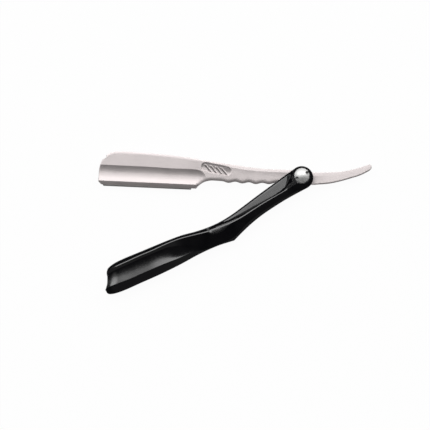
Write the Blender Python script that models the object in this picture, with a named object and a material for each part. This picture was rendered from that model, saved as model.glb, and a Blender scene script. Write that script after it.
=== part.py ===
"""Folding straight razor with a replaceable single-edge blade, lying open on its back scale.

Metres, +Z up. The pivot axis is the Z axis, and Z = 0 is the surface that the razor lies on.
The handle and the blade holder each have a frame of their own: the pivot is its origin, the
handle or the holder runs along its -X side, and Z = 0 there is the middle of the thickness.
"""

import math

import bmesh
import bpy
import numpy as np

# Pose in which the razor lies: the holder and the handle opened by 31 degrees
HOLDER_ANGLE = math.radians(-2.573)
HANDLE_ANGLE = math.radians(28.443)

# Handle scales
HANDLE_REACH = 0.1532
HANDLE_WIDTH = 0.0200
SCALE_THICKNESS = 0.0028
SCALE_EDGE_SHARE = 0.36
SCALE_LEDGE_SHARE = 0.52
BEVEL_WIDTH = 0.0009
EDGE_ROUND = 0.00035
SCOOP_DEPTH = 0.0013
CREASE_RAMP = 0.0022
END_RADIUS = 0.00785
END_CENTRE_X = -0.0009
END_CENTRE_Y = -0.0012

# Channel between the scales and the pieces that bridge it
TANG_THICKNESS = 0.0044
WASHER_THICKNESS = 0.0005
FACE_GAP = 0.00005
CHANNEL = TANG_THICKNESS + 2 * WASHER_THICKNESS + 4 * FACE_GAP
SPACER_INSET = 0.0004
SPACER_GAP = 0.00003
TOE_SPACER_RADIUS = 0.0017

# Blade holder
HOLDER_REACH = 0.1371
HEAD_HEIGHT = 0.0228
HEAD_THICKNESS = 0.0050
TAIL_LENGTH = 0.0469
TAIL_TIP_THICKNESS = 0.0028
HOLLOW_DEPTH = 0.00115
LIP_THICKNESS = 0.0011
SPINE_BEVEL = 0.0009
NECK_CHAMFER = 0.0006
BOSS_RADIUS = 0.0054
WAVE_PITCH = 0.00913
WAVE_DEPTH = 0.00085
WAVES = 4

# Grip recess on each cheek of the neck
RECESS_LENGTH = 0.0208
RECESS_WIDTH = 0.0064
RECESS_DEPTH = 0.0005
RECESS_TILT = math.radians(-9.0)
RIB_WIDTH = 0.0009
RIB_PITCH = 0.0037
RIB_HEIGHT = 0.00035
RIB_SLANT = math.radians(38.0)
RIBS = 4

# Blade and the jaws that hold it
JAW_HEIGHT = 0.0185
JAW_END_SHARE = 0.5055
JAW_LENGTH = HOLDER_REACH * (1 - JAW_END_SHARE)
JAW_GAP = 0.00003
BLADE_INSET = 0.0032
BLADE_END_COVER = 0.0046
BLADE_LENGTH = JAW_LENGTH - BLADE_INSET - BLADE_END_COVER
BLADE_WIDTH = 0.0100
BLADE_THICKNESS = 0.000254
BLADE_EDGE_THICKNESS = 0.00004
BLADE_EDGE_WIDTH = 0.0010
BLADE_CORNER = 0.0010
BLADE_EXPOSED = 0.0009
SLOT_SIDE_GAP = 0.00005
SLOT_END_GAP = 0.0003

# Fasteners and pins
PIVOT_RADIUS = 0.0020
PIVOT_HEAD_RADIUS = 0.00515
PIVOT_HEAD_RISE = 0.0022
PIVOT_HEAD_RIM = 0.0006
PIVOT_SEAT_DEPTH = 0.0007
NOTCH_RADIUS = 0.0010
NOTCH_PLACE = 0.0043
NOTCH_DEPTH = 0.0009
THREAD_RADIUS = 0.0015
NUT_HEAD_RADIUS = 0.0048
NUT_HEAD_THICKNESS = 0.0010
NUT_BARREL_RADIUS = 0.0027
NUT_PROUD = 0.0003
SPRING_THICKNESS = 0.0004
SPRING_RADIUS = 0.0042
SHOULDER_RISE = 0.0004
BUSH_RADIUS = 0.0026
WASHER_RADIUS = 0.0048
RUNNING_GAP = 0.00006
FIT_GAP = 0.00003
SCREW_RADIUS = 0.0008
SCREW_HEAD_RADIUS = 0.0016
SCREW_HEAD_THICKNESS = 0.0009
SCREW_SEAT = 0.0009
DRIVE_RADIUS = 0.0007
DRIVE_DEPTH = 0.0005
INSERT_RADIUS = 0.0013
INSERT_LENGTH = 0.0010
DOWEL_RADIUS = 0.0006
DOWEL_DEPTH = 0.0007
JAW_SCREW_RADIUS = 0.0010
JAW_SCREW_HEAD_RADIUS = 0.0018
JAW_SCREW_HEAD_THICKNESS = 0.0009
JAW_SCREW_BITE = 0.0016
JAW_DOWEL_RADIUS = 0.00075
JAW_DOWEL_BITE = 0.0012
JAW_DOWEL_COVER = 0.0009
DIMPLE_GAP = 0.0002

# Height of the middle of the thickness over the surface
MIDDLE = NUT_PROUD + SCALE_THICKNESS + CHANNEL / 2

# One overrun serves every cut that has to pass its face
OVERRUN = 0.0010
ROUND_SIDES = 32
SMALL_SIDES = 20

# Outlines of the handle: shares of the reach toward the toe, and of the width
UPPER_SHARES = (
    (0.951, 0.320), (0.928, 0.395), (0.907, 0.415), (0.868, 0.405), (0.792, 0.345),
    (0.716, 0.285), (0.640, 0.220), (0.585, 0.155), (0.532, 0.055), (0.477, -0.020),
    (0.420, -0.055), (0.358, -0.035), (0.294, 0.030), (0.228, 0.107), (0.164, 0.175),
    (0.099, 0.2415), (0.036, 0.303), (0.006, 0.3325),
)
LOWER_TOE_SHARES = (
    (1.000, -0.350), (0.990, -0.430), (0.957, -0.520), (0.920, -0.560), (0.852, -0.595),
    (0.756, -0.655), (0.658, -0.685), (0.558, -0.685), (0.510, -0.705), (0.462, -0.745),
    (0.417, -0.810), (0.397, -0.840),
)
LOWER_NECK_SHARES = (
    (0.397, -0.840), (0.351, -0.730), (0.305, -0.635), (0.238, -0.535), (0.174, -0.485),
    (0.112, -0.455), (0.052, -0.450), (0.006, -0.4525),
)
TOE_END_SHARES = (
    (0.951, 0.320), (0.960, 0.240), (0.964, 0.130), (0.971, 0.020), (0.982, -0.120),
    (0.997, -0.245), (1.000, -0.350),
)
BEVEL_SHARES = (
    (0.960, 0.280), (0.924, 0.285), (0.843, 0.245), (0.747, 0.190), (0.650, 0.140),
    (0.604, 0.090), (0.559, 0.010), (0.515, -0.070), (0.447, -0.170), (0.375, -0.250),
    (0.315, -0.258), (0.275, -0.235), (0.198, -0.195), (0.123, -0.180), (0.006, -0.150),
)
PANEL_SHARES = (
    (0.403, -0.115), (0.318, -0.140), (0.220, -0.145), (0.144, -0.135), (0.006, -0.110),
)
RIDGE_SHARES = (
    (1.000, -0.170), (0.960, -0.190), (0.881, -0.275), (0.787, -0.360), (0.692, -0.430),
    (0.645, -0.470), (0.587, -0.510), (0.531, -0.635), (0.470, -0.700), (0.397, -0.740),
    (0.305, -0.530), (0.174, -0.400), (0.006, -0.380),
)
CREASE_SHARES = ((-0.840, 0.397), (-0.540, 0.423), (-0.320, 0.458), (-0.130, 0.494), (0.1, 0.530))
PANEL_TIP_SHARE = 0.403
PANEL_END_SHARES = (0.112, 0.062)
PANEL_RISE_SHARES = (0.90, 0.84)
SCOOP_SHARES = ((0.12, 0.55), (0.35, 0.95), (0.60, 1.00), (0.85, 0.60))
LOWER_RISE_SHARE = 0.92
RIM_RISE_SHARE = 0.75
TOE_ROUND_SHARE = 0.012

# Outlines of the blade holder: shares of the reach toward the nose, and of the head's height
SPINE_SHARES = (
    (0.964, 0.345), (0.945, 0.420), (0.926, 0.460), (0.901, 0.474), (0.852, 0.473),
    (0.753, 0.461), (0.654, 0.430), (0.555, 0.382), (0.456, 0.307), (0.357, 0.241),
    (0.258, 0.180), (0.198, 0.154), (0.134, 0.152), (0.060, 0.152), (0.000, 0.130),
)
UNDERSIDE_SHARES = (
    (0.516, -0.525), (0.5135, -0.522), (0.507, -0.465), (0.500, -0.417), (0.486, -0.346),
    (0.471, -0.303), (0.451, -0.270), (0.422, -0.263), (0.392, -0.268), (0.323, -0.268),
    (0.259, -0.268), (0.195, -0.268), (0.131, -0.246), (0.060, -0.250), (0.000, -0.260),
)
NOSE_SHARES = (
    (0.996, -0.456), (1.000, -0.338), (0.999, -0.158), (0.996, -0.009), (0.990, 0.110),
    (0.979, 0.245), (0.964, 0.345),
)
HOLLOW_TOP_SHARES = (
    (1.000, 0.062), (0.898, 0.061), (0.750, 0.057), (0.627, 0.035), (0.543, 0.035),
    (0.508, 0.018), (0.488, -0.035), (0.475, -0.123), (0.468, -0.200),
)
CREASE_LINE_SHARES = (
    (1.000, 0.200), (0.753, 0.240), (0.555, 0.210), (0.456, 0.175), (0.346, 0.136),
    (0.257, 0.083), (0.158, 0.066), (0.069, 0.066), (0.000, 0.050),
)
TAIL_TOP_SHARES = (
    (0.000, 0.130), (0.170, 0.114), (0.401, 0.136), (0.574, 0.175), (0.687, 0.228),
    (0.829, 0.320), (0.970, 0.425),
)
TAIL_LOW_SHARES = (
    (0.000, -0.260), (0.151, -0.263), (0.267, -0.237), (0.409, -0.197), (0.550, -0.123),
    (0.693, -0.026), (0.861, 0.105), (0.974, 0.237),
)
TAIL_TIP_SHARES = ((0.974, 0.237), (0.996, 0.300), (1.000, 0.364), (0.990, 0.405), (0.970, 0.425))
HEEL_SHARE = 0.516
JAW_CORNER_SHARE = 0.984
NECK_SHARE = 0.400
TANG_SHARE = 0.060
HOLLOW_END_SHARES = (0.488, 0.466)
HOLLOW_DEPTH_SHARES = (0.0, 0.7, 1.0, 0.8)
HOLLOW_MIDDLE_SHARE = 0.55
BEVEL_LINE_SHARE = -0.405
BEVEL_LIMIT_SHARE = 0.3
NECK_ROW_SHARES = (0.25, 0.50, 0.70, 0.85)
RECESS_PLACE_SHARES = (0.422, 0.086)
FIRST_WAVE_SHARE = 0.358
TAIL_CREASE_SHARE = 0.3
TIP_START_SHARE = 0.8

# Places of the fasteners: shares of the handle's reach and width, and of the jaws' length
SCREW_PLACE_SHARES = ((0.395, -0.480), (0.927, 0.260))
DOWEL_PLACE_SHARES = ((0.588, -0.625), (0.790, -0.555))
JAW_SCREW_SHARES = (0.10, 0.47, 0.84)
JAW_DOWEL_SHARES = (0.28, 0.66)
JAW_SCREW_LINE_SHARE = 0.84

# Inner side of the backspacer: shares of the handle's reach and width, stop block first
SPACER_INNER_SHARES = (
    (0.352, -0.700), (0.352, -0.262), (0.358, -0.222), (0.405, -0.222), (0.420, -0.262),
    (0.434, -0.318), (0.447, -0.400), (0.459, -0.510), (0.468, -0.565), (0.510, -0.560),
    (0.660, -0.515), (0.820, -0.475), (0.950, -0.440),
)
SPACER_END_SHARE = 0.962


def line_value(shares, place, reach, width):
    """Height at one place of the smooth line through points given as shares."""
    runs = np.array([share for share, _ in shares]) * reach
    rises = np.array([rise for _, rise in shares]) * width
    if runs[0] > runs[-1]:
        runs, rises = runs[::-1], rises[::-1]
    slopes = np.gradient(rises, runs)
    index = int(np.clip(np.searchsorted(runs, place) - 1, 0, len(runs) - 2))
    gap = runs[index + 1] - runs[index]
    share = (np.clip(place, runs[0], runs[-1]) - runs[index]) / gap
    near = (1 + 2 * share) * (1 - share) ** 2 * rises[index]
    far = share**2 * (3 - 2 * share) * rises[index + 1]
    lean = share * (1 - share) ** 2 * slopes[index] - share**2 * (1 - share) * slopes[index + 1]
    return float(near + far + lean * gap)


def smooth_step(value, start, end):
    """0 at start, 1 at end and a soft S between them."""
    share = min(max((value - start) / (end - start), 0.0), 1.0)
    return share * share * (3 - 2 * share)


def mix(first, second, share):
    return first + (second - first) * share


def finish(name, colour, roughness, metallic):
    """A Principled material."""
    material = bpy.data.materials.new(name)
    material.use_nodes = True
    shader = material.node_tree.nodes["Principled BSDF"]
    shader.inputs["Base Color"].default_value = (*colour, 1.0)
    shader.inputs["Roughness"].default_value = roughness
    shader.inputs["Metallic"].default_value = metallic
    material.diffuse_color = (*colour, 1.0)
    return material


def frame(name, angle):
    """An empty on the pivot axis, in the middle of the thickness."""
    empty = bpy.data.objects.new(name, None)
    empty.empty_display_size = PIVOT_HEAD_RADIUS
    empty.location.z = MIDDLE
    empty.rotation_euler.z = angle
    bpy.context.scene.collection.objects.link(empty)
    return empty


def place(name, bm, parent, material=None, location=(0.0, 0.0, 0.0), angle=0.0, sharp=35.0):
    """An object from a bmesh, under a frame, smooth except at sharp edges."""
    bmesh.ops.recalc_face_normals(bm, faces=bm.faces)
    mesh = bpy.data.meshes.new(name)
    bm.to_mesh(mesh)
    bm.free()
    mesh.shade_smooth()
    mesh.set_sharp_from_angle(angle=math.radians(sharp))
    piece = bpy.data.objects.new(name, mesh)
    if material:
        mesh.materials.append(material)
    piece.parent = parent
    piece.location = location
    piece.rotation_euler.z = angle
    bpy.context.scene.collection.objects.link(piece)
    return piece


def cut(piece, cutter, operation="DIFFERENCE"):
    """A Boolean on a piece; its cutter stays as a wire guide."""
    cutter.hide_render = True
    cutter.display_type = "WIRE"
    modifier = piece.modifiers.new(cutter.name, "BOOLEAN")
    modifier.solver = "EXACT"
    modifier.operation = operation
    modifier.object = cutter


def turned(profile, sides, closed=False):
    """A turned bmesh from (radius, height) points; an open profile is capped at both ends."""
    bm = bmesh.new()
    rings = []
    for radius, height in profile:
        ring = []
        for step in range(sides):
            turn = 2 * math.pi * step / sides
            ring.append(bm.verts.new((radius * math.cos(turn), radius * math.sin(turn), height)))
        rings.append(ring)
    pairs = list(zip(rings, rings[1:]))
    if closed:
        pairs.append((rings[-1], rings[0]))
    else:
        bm.faces.new(rings[0])
        bm.faces.new(rings[-1])
    for low, high in pairs:
        for step in range(sides):
            after = (step + 1) % sides
            bm.faces.new((low[step], low[after], high[after], high[step]))
    return bm


def rod(radius, low, high, sides=SMALL_SIDES):
    return turned(((radius, low), (radius, high)), sides)


def ring(inner, outer, low, high, sides=ROUND_SIDES):
    return turned(((inner, low), (outer, low), (outer, high), (inner, high)), sides, closed=True)


def prism(points, low, high):
    """A closed outline extruded from one height to another."""
    bm = bmesh.new()
    base = bm.faces.new([bm.verts.new((x, y, low)) for x, y in points])
    raised = bmesh.ops.extrude_face_region(bm, geom=[base])["geom"]
    for item in raised:
        if isinstance(item, bmesh.types.BMVert):
            item.co.z = high
    return bm


def block(left, right, bottom, top, low, high):
    return prism(((left, bottom), (right, bottom), (right, top), (left, top)), low, high)


def grid_sheet(bm, columns):
    """Quads over a grid of points; returns the grid of vertices."""
    verts = [[bm.verts.new(point) for point in column] for column in columns]
    for near, far in zip(verts, verts[1:]):
        for row in range(len(near) - 1):
            bm.faces.new((near[row], near[row + 1], far[row + 1], far[row]))
    return verts


def rim_of(verts):
    """The vertices around a grid, in order."""
    rim = list(verts[0])
    rim += [column[-1] for column in verts[1:]]
    rim += verts[-1][-2::-1]
    rim += [column[0] for column in verts[-2:0:-1]]
    return rim


def wall_between(bm, first, second):
    for index, vert in enumerate(first):
        after = (index + 1) % len(first)
        bm.faces.new((vert, first[after], second[after], second[index]))


# Handle scales

def upper_edge(x):
    if x > END_CENTRE_X:
        return END_CENTRE_Y + math.sqrt(END_RADIUS**2 - (x - END_CENTRE_X) ** 2)
    return line_value(UPPER_SHARES, -x, HANDLE_REACH, HANDLE_WIDTH)


def lower_edge(x):
    if x > END_CENTRE_X:
        return END_CENTRE_Y - math.sqrt(END_RADIUS**2 - (x - END_CENTRE_X) ** 2)
    shares = LOWER_TOE_SHARES if -x > LOWER_NECK_SHARES[0][0] * HANDLE_REACH else LOWER_NECK_SHARES
    return line_value(shares, -x, HANDLE_REACH, HANDLE_WIDTH)


def toe_end(y):
    """How far the concave toe reaches at a height."""
    turned_shares = [(rise, -share) for share, rise in TOE_END_SHARES]
    return line_value(turned_shares, y, HANDLE_WIDTH, HANDLE_REACH)


def crease_place(y):
    """Where the scoop starts at a height."""
    shares = [(rise, -share) for rise, share in CREASE_SHARES]
    return line_value(shares, y, HANDLE_WIDTH, HANDLE_REACH)


def scale_section(x):
    """Rows of (y, height over the channel wall) across a scale, from the upper edge down."""
    full = SCALE_THICKNESS
    upper = upper_edge(x)
    lower = lower_edge(x)
    bevel = line_value(BEVEL_SHARES, -x, HANDLE_REACH, HANDLE_WIDTH)
    ridge = line_value(RIDGE_SHARES, -x, HANDLE_REACH, HANDLE_WIDTH)
    panel_line = line_value(PANEL_SHARES, -x, HANDLE_REACH, HANDLE_WIDTH)
    tip = -PANEL_TIP_SHARE * HANDLE_REACH
    in_panel = smooth_step(x, tip - 6 * BEVEL_WIDTH, tip + 6 * BEVEL_WIDTH)
    panel_start, panel_end = (-share * HANDLE_REACH for share in PANEL_END_SHARES)
    in_boss = smooth_step(x, panel_start, panel_end)
    rim = full * SCALE_EDGE_SHARE
    ledge = full * SCALE_LEDGE_SHARE
    bevel_top = bevel - BEVEL_WIDTH / 2
    bevel_foot = bevel + BEVEL_WIDTH / 2
    ledge_row = mix((upper + bevel_foot) / 2, max(panel_line, bevel_foot + BEVEL_WIDTH / 2), in_panel)
    ledge_row = min(ledge_row, upper - 2 * EDGE_ROUND)
    panel_height = mix(ledge, full * PANEL_RISE_SHARES[0], in_panel)
    foot_height = mix(ledge, full * PANEL_RISE_SHARES[1], in_panel)
    rows = [
        (upper, mix(rim, full * RIM_RISE_SHARE, in_boss)),
        (upper - EDGE_ROUND, mix(mix(ledge, rim + EDGE_ROUND, in_panel), full, in_boss)),
        (ledge_row, mix(panel_height, full, in_boss)),
        (bevel_foot, mix(foot_height, full, in_boss)),
        (bevel_top, full),
    ]
    for share, depth_share in SCOOP_SHARES:
        y = mix(bevel_top, ridge, share)
        crease = crease_place(y)
        in_scoop = smooth_step(-x, -crease, -crease + CREASE_RAMP)
        flat = full - share * share * EDGE_ROUND
        rows.append((y, flat - depth_share * SCOOP_DEPTH * in_scoop))
    rows += [
        (ridge, full - EDGE_ROUND),
        (lower + EDGE_ROUND, mix(rim + EDGE_ROUND, full * LOWER_RISE_SHARE, in_boss)),
        (lower, mix(rim, full * RIM_RISE_SHARE, in_boss)),
    ]
    return rows


def scale_columns():
    """The grid of a scale's outer face, from the toe to the round end."""
    toe = -UPPER_SHARES[0][0] * HANDLE_REACH
    corner = -LOWER_NECK_SHARES[0][0] * HANDLE_REACH
    stations = [toe, toe + TOE_ROUND_SHARE * HANDLE_REACH]
    stations += list(np.linspace(stations[-1], 2 * corner, 9)[1:])
    stations += list(np.linspace(2 * corner, corner, 25)[1:])
    stations += list(np.linspace(corner, END_CENTRE_X, 19)[1:])
    toe_zone = 8 * TOE_ROUND_SHARE * HANDLE_REACH
    columns = []
    for index, station in enumerate(stations):
        near_toe = 1 - smooth_step(station, toe, toe + toe_zone)
        column = []
        for row, (y, _) in enumerate(scale_section(station)):
            first_y = scale_section(toe)[row][0]
            end = toe_end(min(first_y, TOE_END_SHARES[0][1] * HANDLE_WIDTH))
            x = station + (end - toe) * near_toe
            y, height = scale_section(x)[row]
            if index == 0:
                height = min(height, SCALE_THICKNESS * SCALE_LEDGE_SHARE)
            column.append((x, y, height))
        columns.append(column)
    return columns + end_columns(columns[-1])


def end_columns(last):
    """Columns that fan out from the last straight one to the round end."""
    steps = 5
    half_turn = math.radians(52)
    columns = []
    top, bottom = last[0][1], last[-1][1]
    for step in range(1, steps + 1):
        share = step / steps
        column = []
        for row, (x, y, height) in enumerate(last):
            down = (top - y) / (top - bottom)
            turn = mix(half_turn, -half_turn, mix(down, row / (len(last) - 1), 0.5))
            end_x = END_CENTRE_X + END_RADIUS * math.cos(turn)
            end_y = END_CENTRE_Y + END_RADIUS * math.sin(turn)
            new_x = mix(x, end_x, share)
            new_y = mix(y, end_y, share)
            if row == 0:
                new_y = upper_edge(new_x)
            elif row == len(last) - 1:
                new_y = lower_edge(new_x)
            if step == steps:
                height = min(height, SCALE_THICKNESS * RIM_RISE_SHARE)
            column.append((new_x, new_y, height))
        columns.append(column)
    return columns


def scale_shell(side):
    """A scale between the channel wall and its shaped outer face; side is 1 in front, -1 behind."""
    wall = side * CHANNEL / 2
    bm = bmesh.new()
    columns = [[(x, y, wall + side * height) for x, y, height in column] for column in scale_columns()]
    outer = rim_of(grid_sheet(bm, columns))
    inner = [bm.verts.new((vert.co.x, vert.co.y, wall)) for vert in outer]
    wall_between(bm, outer, inner)
    bm.faces.new(inner)
    return bm


def handle_point(shares):
    return -shares[0] * HANDLE_REACH, shares[1] * HANDLE_WIDTH


def make_scales(parent, material):
    front = place("front_scale", scale_shell(1), parent, material, sharp=25.0)
    back = place("back_scale", scale_shell(-1), parent, material, sharp=25.0)
    wall = CHANNEL / 2
    face = wall + SCALE_THICKNESS
    bore = rod(PIVOT_RADIUS + FIT_GAP, wall - OVERRUN, face + OVERRUN, ROUND_SIDES)
    cut(front, place("front_pivot_bore", bore, parent))
    seat = turned(
        (
            (PIVOT_HEAD_RADIUS + DIMPLE_GAP, face - PIVOT_SEAT_DEPTH),
            (PIVOT_HEAD_RADIUS + DIMPLE_GAP, face - PIVOT_SEAT_DEPTH / 2),
            (PIVOT_HEAD_RADIUS + PIVOT_SEAT_DEPTH + DIMPLE_GAP, face + DIMPLE_GAP),
        ),
        ROUND_SIDES,
    )
    cut(front, place("front_head_seat", seat, parent))
    nut_depth = NUT_HEAD_THICKNESS - NUT_PROUD + SPRING_THICKNESS + 2 * FACE_GAP
    nut_bore = turned(
        (
            (NUT_BARREL_RADIUS + FIT_GAP, OVERRUN - wall),
            (NUT_BARREL_RADIUS + FIT_GAP, nut_depth - face),
            (NUT_HEAD_RADIUS + DIMPLE_GAP, nut_depth - face),
            (NUT_HEAD_RADIUS + DIMPLE_GAP, -face - OVERRUN),
        ),
        ROUND_SIDES,
    )
    cut(back, place("back_nut_bore", nut_bore, parent))
    for number, shares in enumerate(SCREW_PLACE_SHARES, 1):
        x, y = handle_point(shares)
        pocket = rod(INSERT_RADIUS + FIT_GAP, wall - OVERRUN, wall + INSERT_LENGTH + DIMPLE_GAP)
        cut(front, place(f"insert_pocket_{number}", pocket, parent, location=(x, y, 0.0)))
        way = turned(
            (
                (SCREW_RADIUS + FIT_GAP, OVERRUN - wall),
                (SCREW_RADIUS + FIT_GAP, -wall - SCREW_SEAT),
                (SCREW_HEAD_RADIUS + DIMPLE_GAP, -wall - SCREW_SEAT),
                (SCREW_HEAD_RADIUS + DIMPLE_GAP, -face - OVERRUN),
            ),
            SMALL_SIDES,
        )
        cut(back, place(f"screw_way_{number}", way, parent, location=(x, y, 0.0)))
    for number, shares in enumerate(DOWEL_PLACE_SHARES, 1):
        x, y = handle_point(shares)
        reach = wall + DOWEL_DEPTH + DIMPLE_GAP
        hole = rod(DOWEL_RADIUS + FIT_GAP, -reach, reach)
        hole_guide = place(f"dowel_hole_{number}", hole, parent, location=(x, y, 0.0))
        cut(front, hole_guide)
        cut(back, hole_guide)


def spacer_outline():
    """The backspacer: along the lower edge, with the block that stops the neck when closed."""
    inner = [handle_point(shares) for shares in SPACER_INNER_SHARES]
    end = -SPACER_END_SHARE * HANDLE_REACH
    start = inner[0][0]
    corner = -LOWER_NECK_SHARES[0][0] * HANDLE_REACH
    places = list(np.linspace(end, corner, 19)) + list(np.linspace(corner, start, 4)[1:])
    outer = [(x, lower_edge(x) + SPACER_INSET) for x in places]
    return outer + inner[1:]


def make_spacers(parent, material, steel):
    half = CHANNEL / 2 - SPACER_GAP
    spacer = place("backspacer", prism(spacer_outline(), -half, half), parent, material)
    x, y = handle_point(SCREW_PLACE_SHARES[0])
    screw_hole = rod(SCREW_RADIUS + FIT_GAP, -half - OVERRUN, half + OVERRUN)
    cut(spacer, place("spacer_screw_hole", screw_hole, parent, location=(x, y, 0.0)))
    for number, shares in enumerate(DOWEL_PLACE_SHARES, 1):
        x, y = handle_point(shares)
        hole = rod(DOWEL_RADIUS + FIT_GAP, -half - OVERRUN, half + OVERRUN)
        cut(spacer, place(f"spacer_dowel_hole_{number}", hole, parent, location=(x, y, 0.0)))
        reach = CHANNEL / 2 + DOWEL_DEPTH
        place(f"spacer_dowel_{number}", rod(DOWEL_RADIUS, -reach, reach), parent, steel, (x, y, 0.0))
    x, y = handle_point(SCREW_PLACE_SHARES[1])
    tube = ring(SCREW_RADIUS + FIT_GAP, TOE_SPACER_RADIUS, -half, half, SMALL_SIDES)
    place("toe_spacer", tube, parent, steel, (x, y, 0.0))


def make_scale_screws(parent, steel, brass):
    wall = CHANNEL / 2
    seat = -wall - SCREW_SEAT - FIT_GAP
    head = seat - SCREW_HEAD_THICKNESS
    for number, shares in enumerate(SCREW_PLACE_SHARES, 1):
        x, y = handle_point(shares)
        screw = turned(
            (
                (DRIVE_RADIUS, head + DRIVE_DEPTH),
                (DRIVE_RADIUS, head),
                (SCREW_HEAD_RADIUS, head),
                (SCREW_HEAD_RADIUS, seat),
                (SCREW_RADIUS, seat),
                (SCREW_RADIUS, wall + INSERT_LENGTH / 2),
            ),
            SMALL_SIDES,
        )
        place(f"scale_screw_{number}", screw, parent, steel, (x, y, 0.0))
        insert = turned(
            (
                (SCREW_RADIUS + FIT_GAP, wall + FIT_GAP),
                (INSERT_RADIUS, wall + FIT_GAP),
                (INSERT_RADIUS, wall + INSERT_LENGTH),
                (SCREW_RADIUS + FIT_GAP, wall + INSERT_LENGTH),
            ),
            SMALL_SIDES,
            closed=True,
        )
        place(f"scale_insert_{number}", insert, parent, brass, (x, y, 0.0))


def dome(radius, rise, base, steps):
    """Points of a spherical cap over a base, from its rim toward its top."""
    sphere = (radius**2 + rise**2) / (2 * rise)
    half_turn = math.asin(radius / sphere)
    points = []
    for step in range(1, steps + 1):
        turn = half_turn * (1 - step / (steps + 1))
        points.append((sphere * math.sin(turn), base + rise - sphere * (1 - math.cos(turn))))
    return points


def make_pivot(parent, chrome, steel, bronze):
    wall = CHANNEL / 2
    face = wall + SCALE_THICKNESS
    seat = face - PIVOT_SEAT_DEPTH + FACE_GAP
    rim = seat + PIVOT_HEAD_RIM
    thread_end = NUT_HEAD_THICKNESS - NUT_PROUD - face + FACE_GAP
    shoulder = SHOULDER_RISE - wall
    profile = [
        (THREAD_RADIUS, thread_end),
        (THREAD_RADIUS, shoulder),
        (PIVOT_RADIUS, shoulder),
        (PIVOT_RADIUS, seat),
        (PIVOT_HEAD_RADIUS, seat),
        (PIVOT_HEAD_RADIUS, rim),
    ]
    profile += dome(PIVOT_HEAD_RADIUS, PIVOT_HEAD_RISE, rim, 6)
    screw = place("pivot_screw", turned(profile, ROUND_SIDES), parent, chrome, sharp=40.0)
    for number, side in enumerate((-1, 1), 1):
        top = rim + PIVOT_HEAD_RISE
        notch = rod(NOTCH_RADIUS, rim - NOTCH_DEPTH / 3, top)
        cut(screw, place(f"pivot_notch_{number}", notch, parent, location=(side * NOTCH_PLACE, 0.0, 0.0)))
    bottom = -face - NUT_PROUD
    under_head = bottom + NUT_HEAD_THICKNESS
    barrel_end = -wall - FACE_GAP
    nut = turned(
        (
            (NUT_HEAD_RADIUS - EDGE_ROUND, bottom),
            (NUT_HEAD_RADIUS, bottom + EDGE_ROUND),
            (NUT_HEAD_RADIUS, under_head),
            (NUT_BARREL_RADIUS, under_head),
            (NUT_BARREL_RADIUS, barrel_end),
            (THREAD_RADIUS + FIT_GAP, barrel_end),
            (THREAD_RADIUS + FIT_GAP, under_head),
        ),
        ROUND_SIDES,
    )
    place("pivot_nut", nut, parent, chrome)
    spring = ring(
        NUT_BARREL_RADIUS + FIT_GAP,
        SPRING_RADIUS,
        under_head + FACE_GAP,
        under_head + FACE_GAP + SPRING_THICKNESS,
    )
    place("spring_washer", spring, parent, steel)
    for name, side in (("front_thrust_washer", 1), ("back_thrust_washer", -1)):
        outer = side * (wall - FACE_GAP)
        inner = side * (wall - FACE_GAP - WASHER_THICKNESS)
        washer = ring(PIVOT_RADIUS + FIT_GAP, WASHER_RADIUS, min(outer, inner), max(outer, inner))
        place(name, washer, parent, bronze)


# Blade holder

def nose_end(y):
    shares = [(rise, -share) for share, rise in NOSE_SHARES]
    return line_value(shares, y, HEAD_HEIGHT, HOLDER_REACH)


def tail_end(y):
    shares = [(rise, share) for share, rise in TAIL_TIP_SHARES]
    return line_value(shares, y, HEAD_HEIGHT, TAIL_LENGTH)


def lip_line():
    """The jaws' lower edge."""
    return UNDERSIDE_SHARES[0][1] * HEAD_HEIGHT


def spine(x):
    if x > 0:
        return line_value(TAIL_TOP_SHARES, x, TAIL_LENGTH, HEAD_HEIGHT)
    return line_value(SPINE_SHARES, -x, HOLDER_REACH, HEAD_HEIGHT)


def waves(x):
    """How far the finger waves stand out under the neck."""
    place_in = (x + FIRST_WAVE_SHARE * HOLDER_REACH) / WAVE_PITCH
    if place_in < -0.5 or place_in > WAVES - 0.5:
        return 0.0
    return WAVE_DEPTH * (1 + math.cos(2 * math.pi * place_in)) / 2


def underside(x):
    if x > 0:
        return line_value(TAIL_LOW_SHARES, x, TAIL_LENGTH, HEAD_HEIGHT)
    corner = -JAW_CORNER_SHARE * HOLDER_REACH
    if x < corner:
        start = NOSE_SHARES[0]
        share = (x - corner) / (-start[0] * HOLDER_REACH - corner)
        return mix(lip_line(), start[1] * HEAD_HEIGHT, share)
    if -x > HEEL_SHARE * HOLDER_REACH:
        return lip_line()
    return line_value(UNDERSIDE_SHARES, -x, HOLDER_REACH, HEAD_HEIGHT) - waves(x)


def cheek(x):
    """Half thickness of the holder's flat cheek."""
    start, end = -HEEL_SHARE * HOLDER_REACH, -TANG_SHARE * HOLDER_REACH
    tang = TANG_THICKNESS / 2 - 2 * FACE_GAP
    half = mix(HEAD_THICKNESS / 2, tang, min(max((x - start) / (end - start), 0.0), 1.0))
    return mix(half, TAIL_TIP_THICKNESS / 2, smooth_step(x, WASHER_RADIUS, TAIL_LENGTH))


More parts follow.
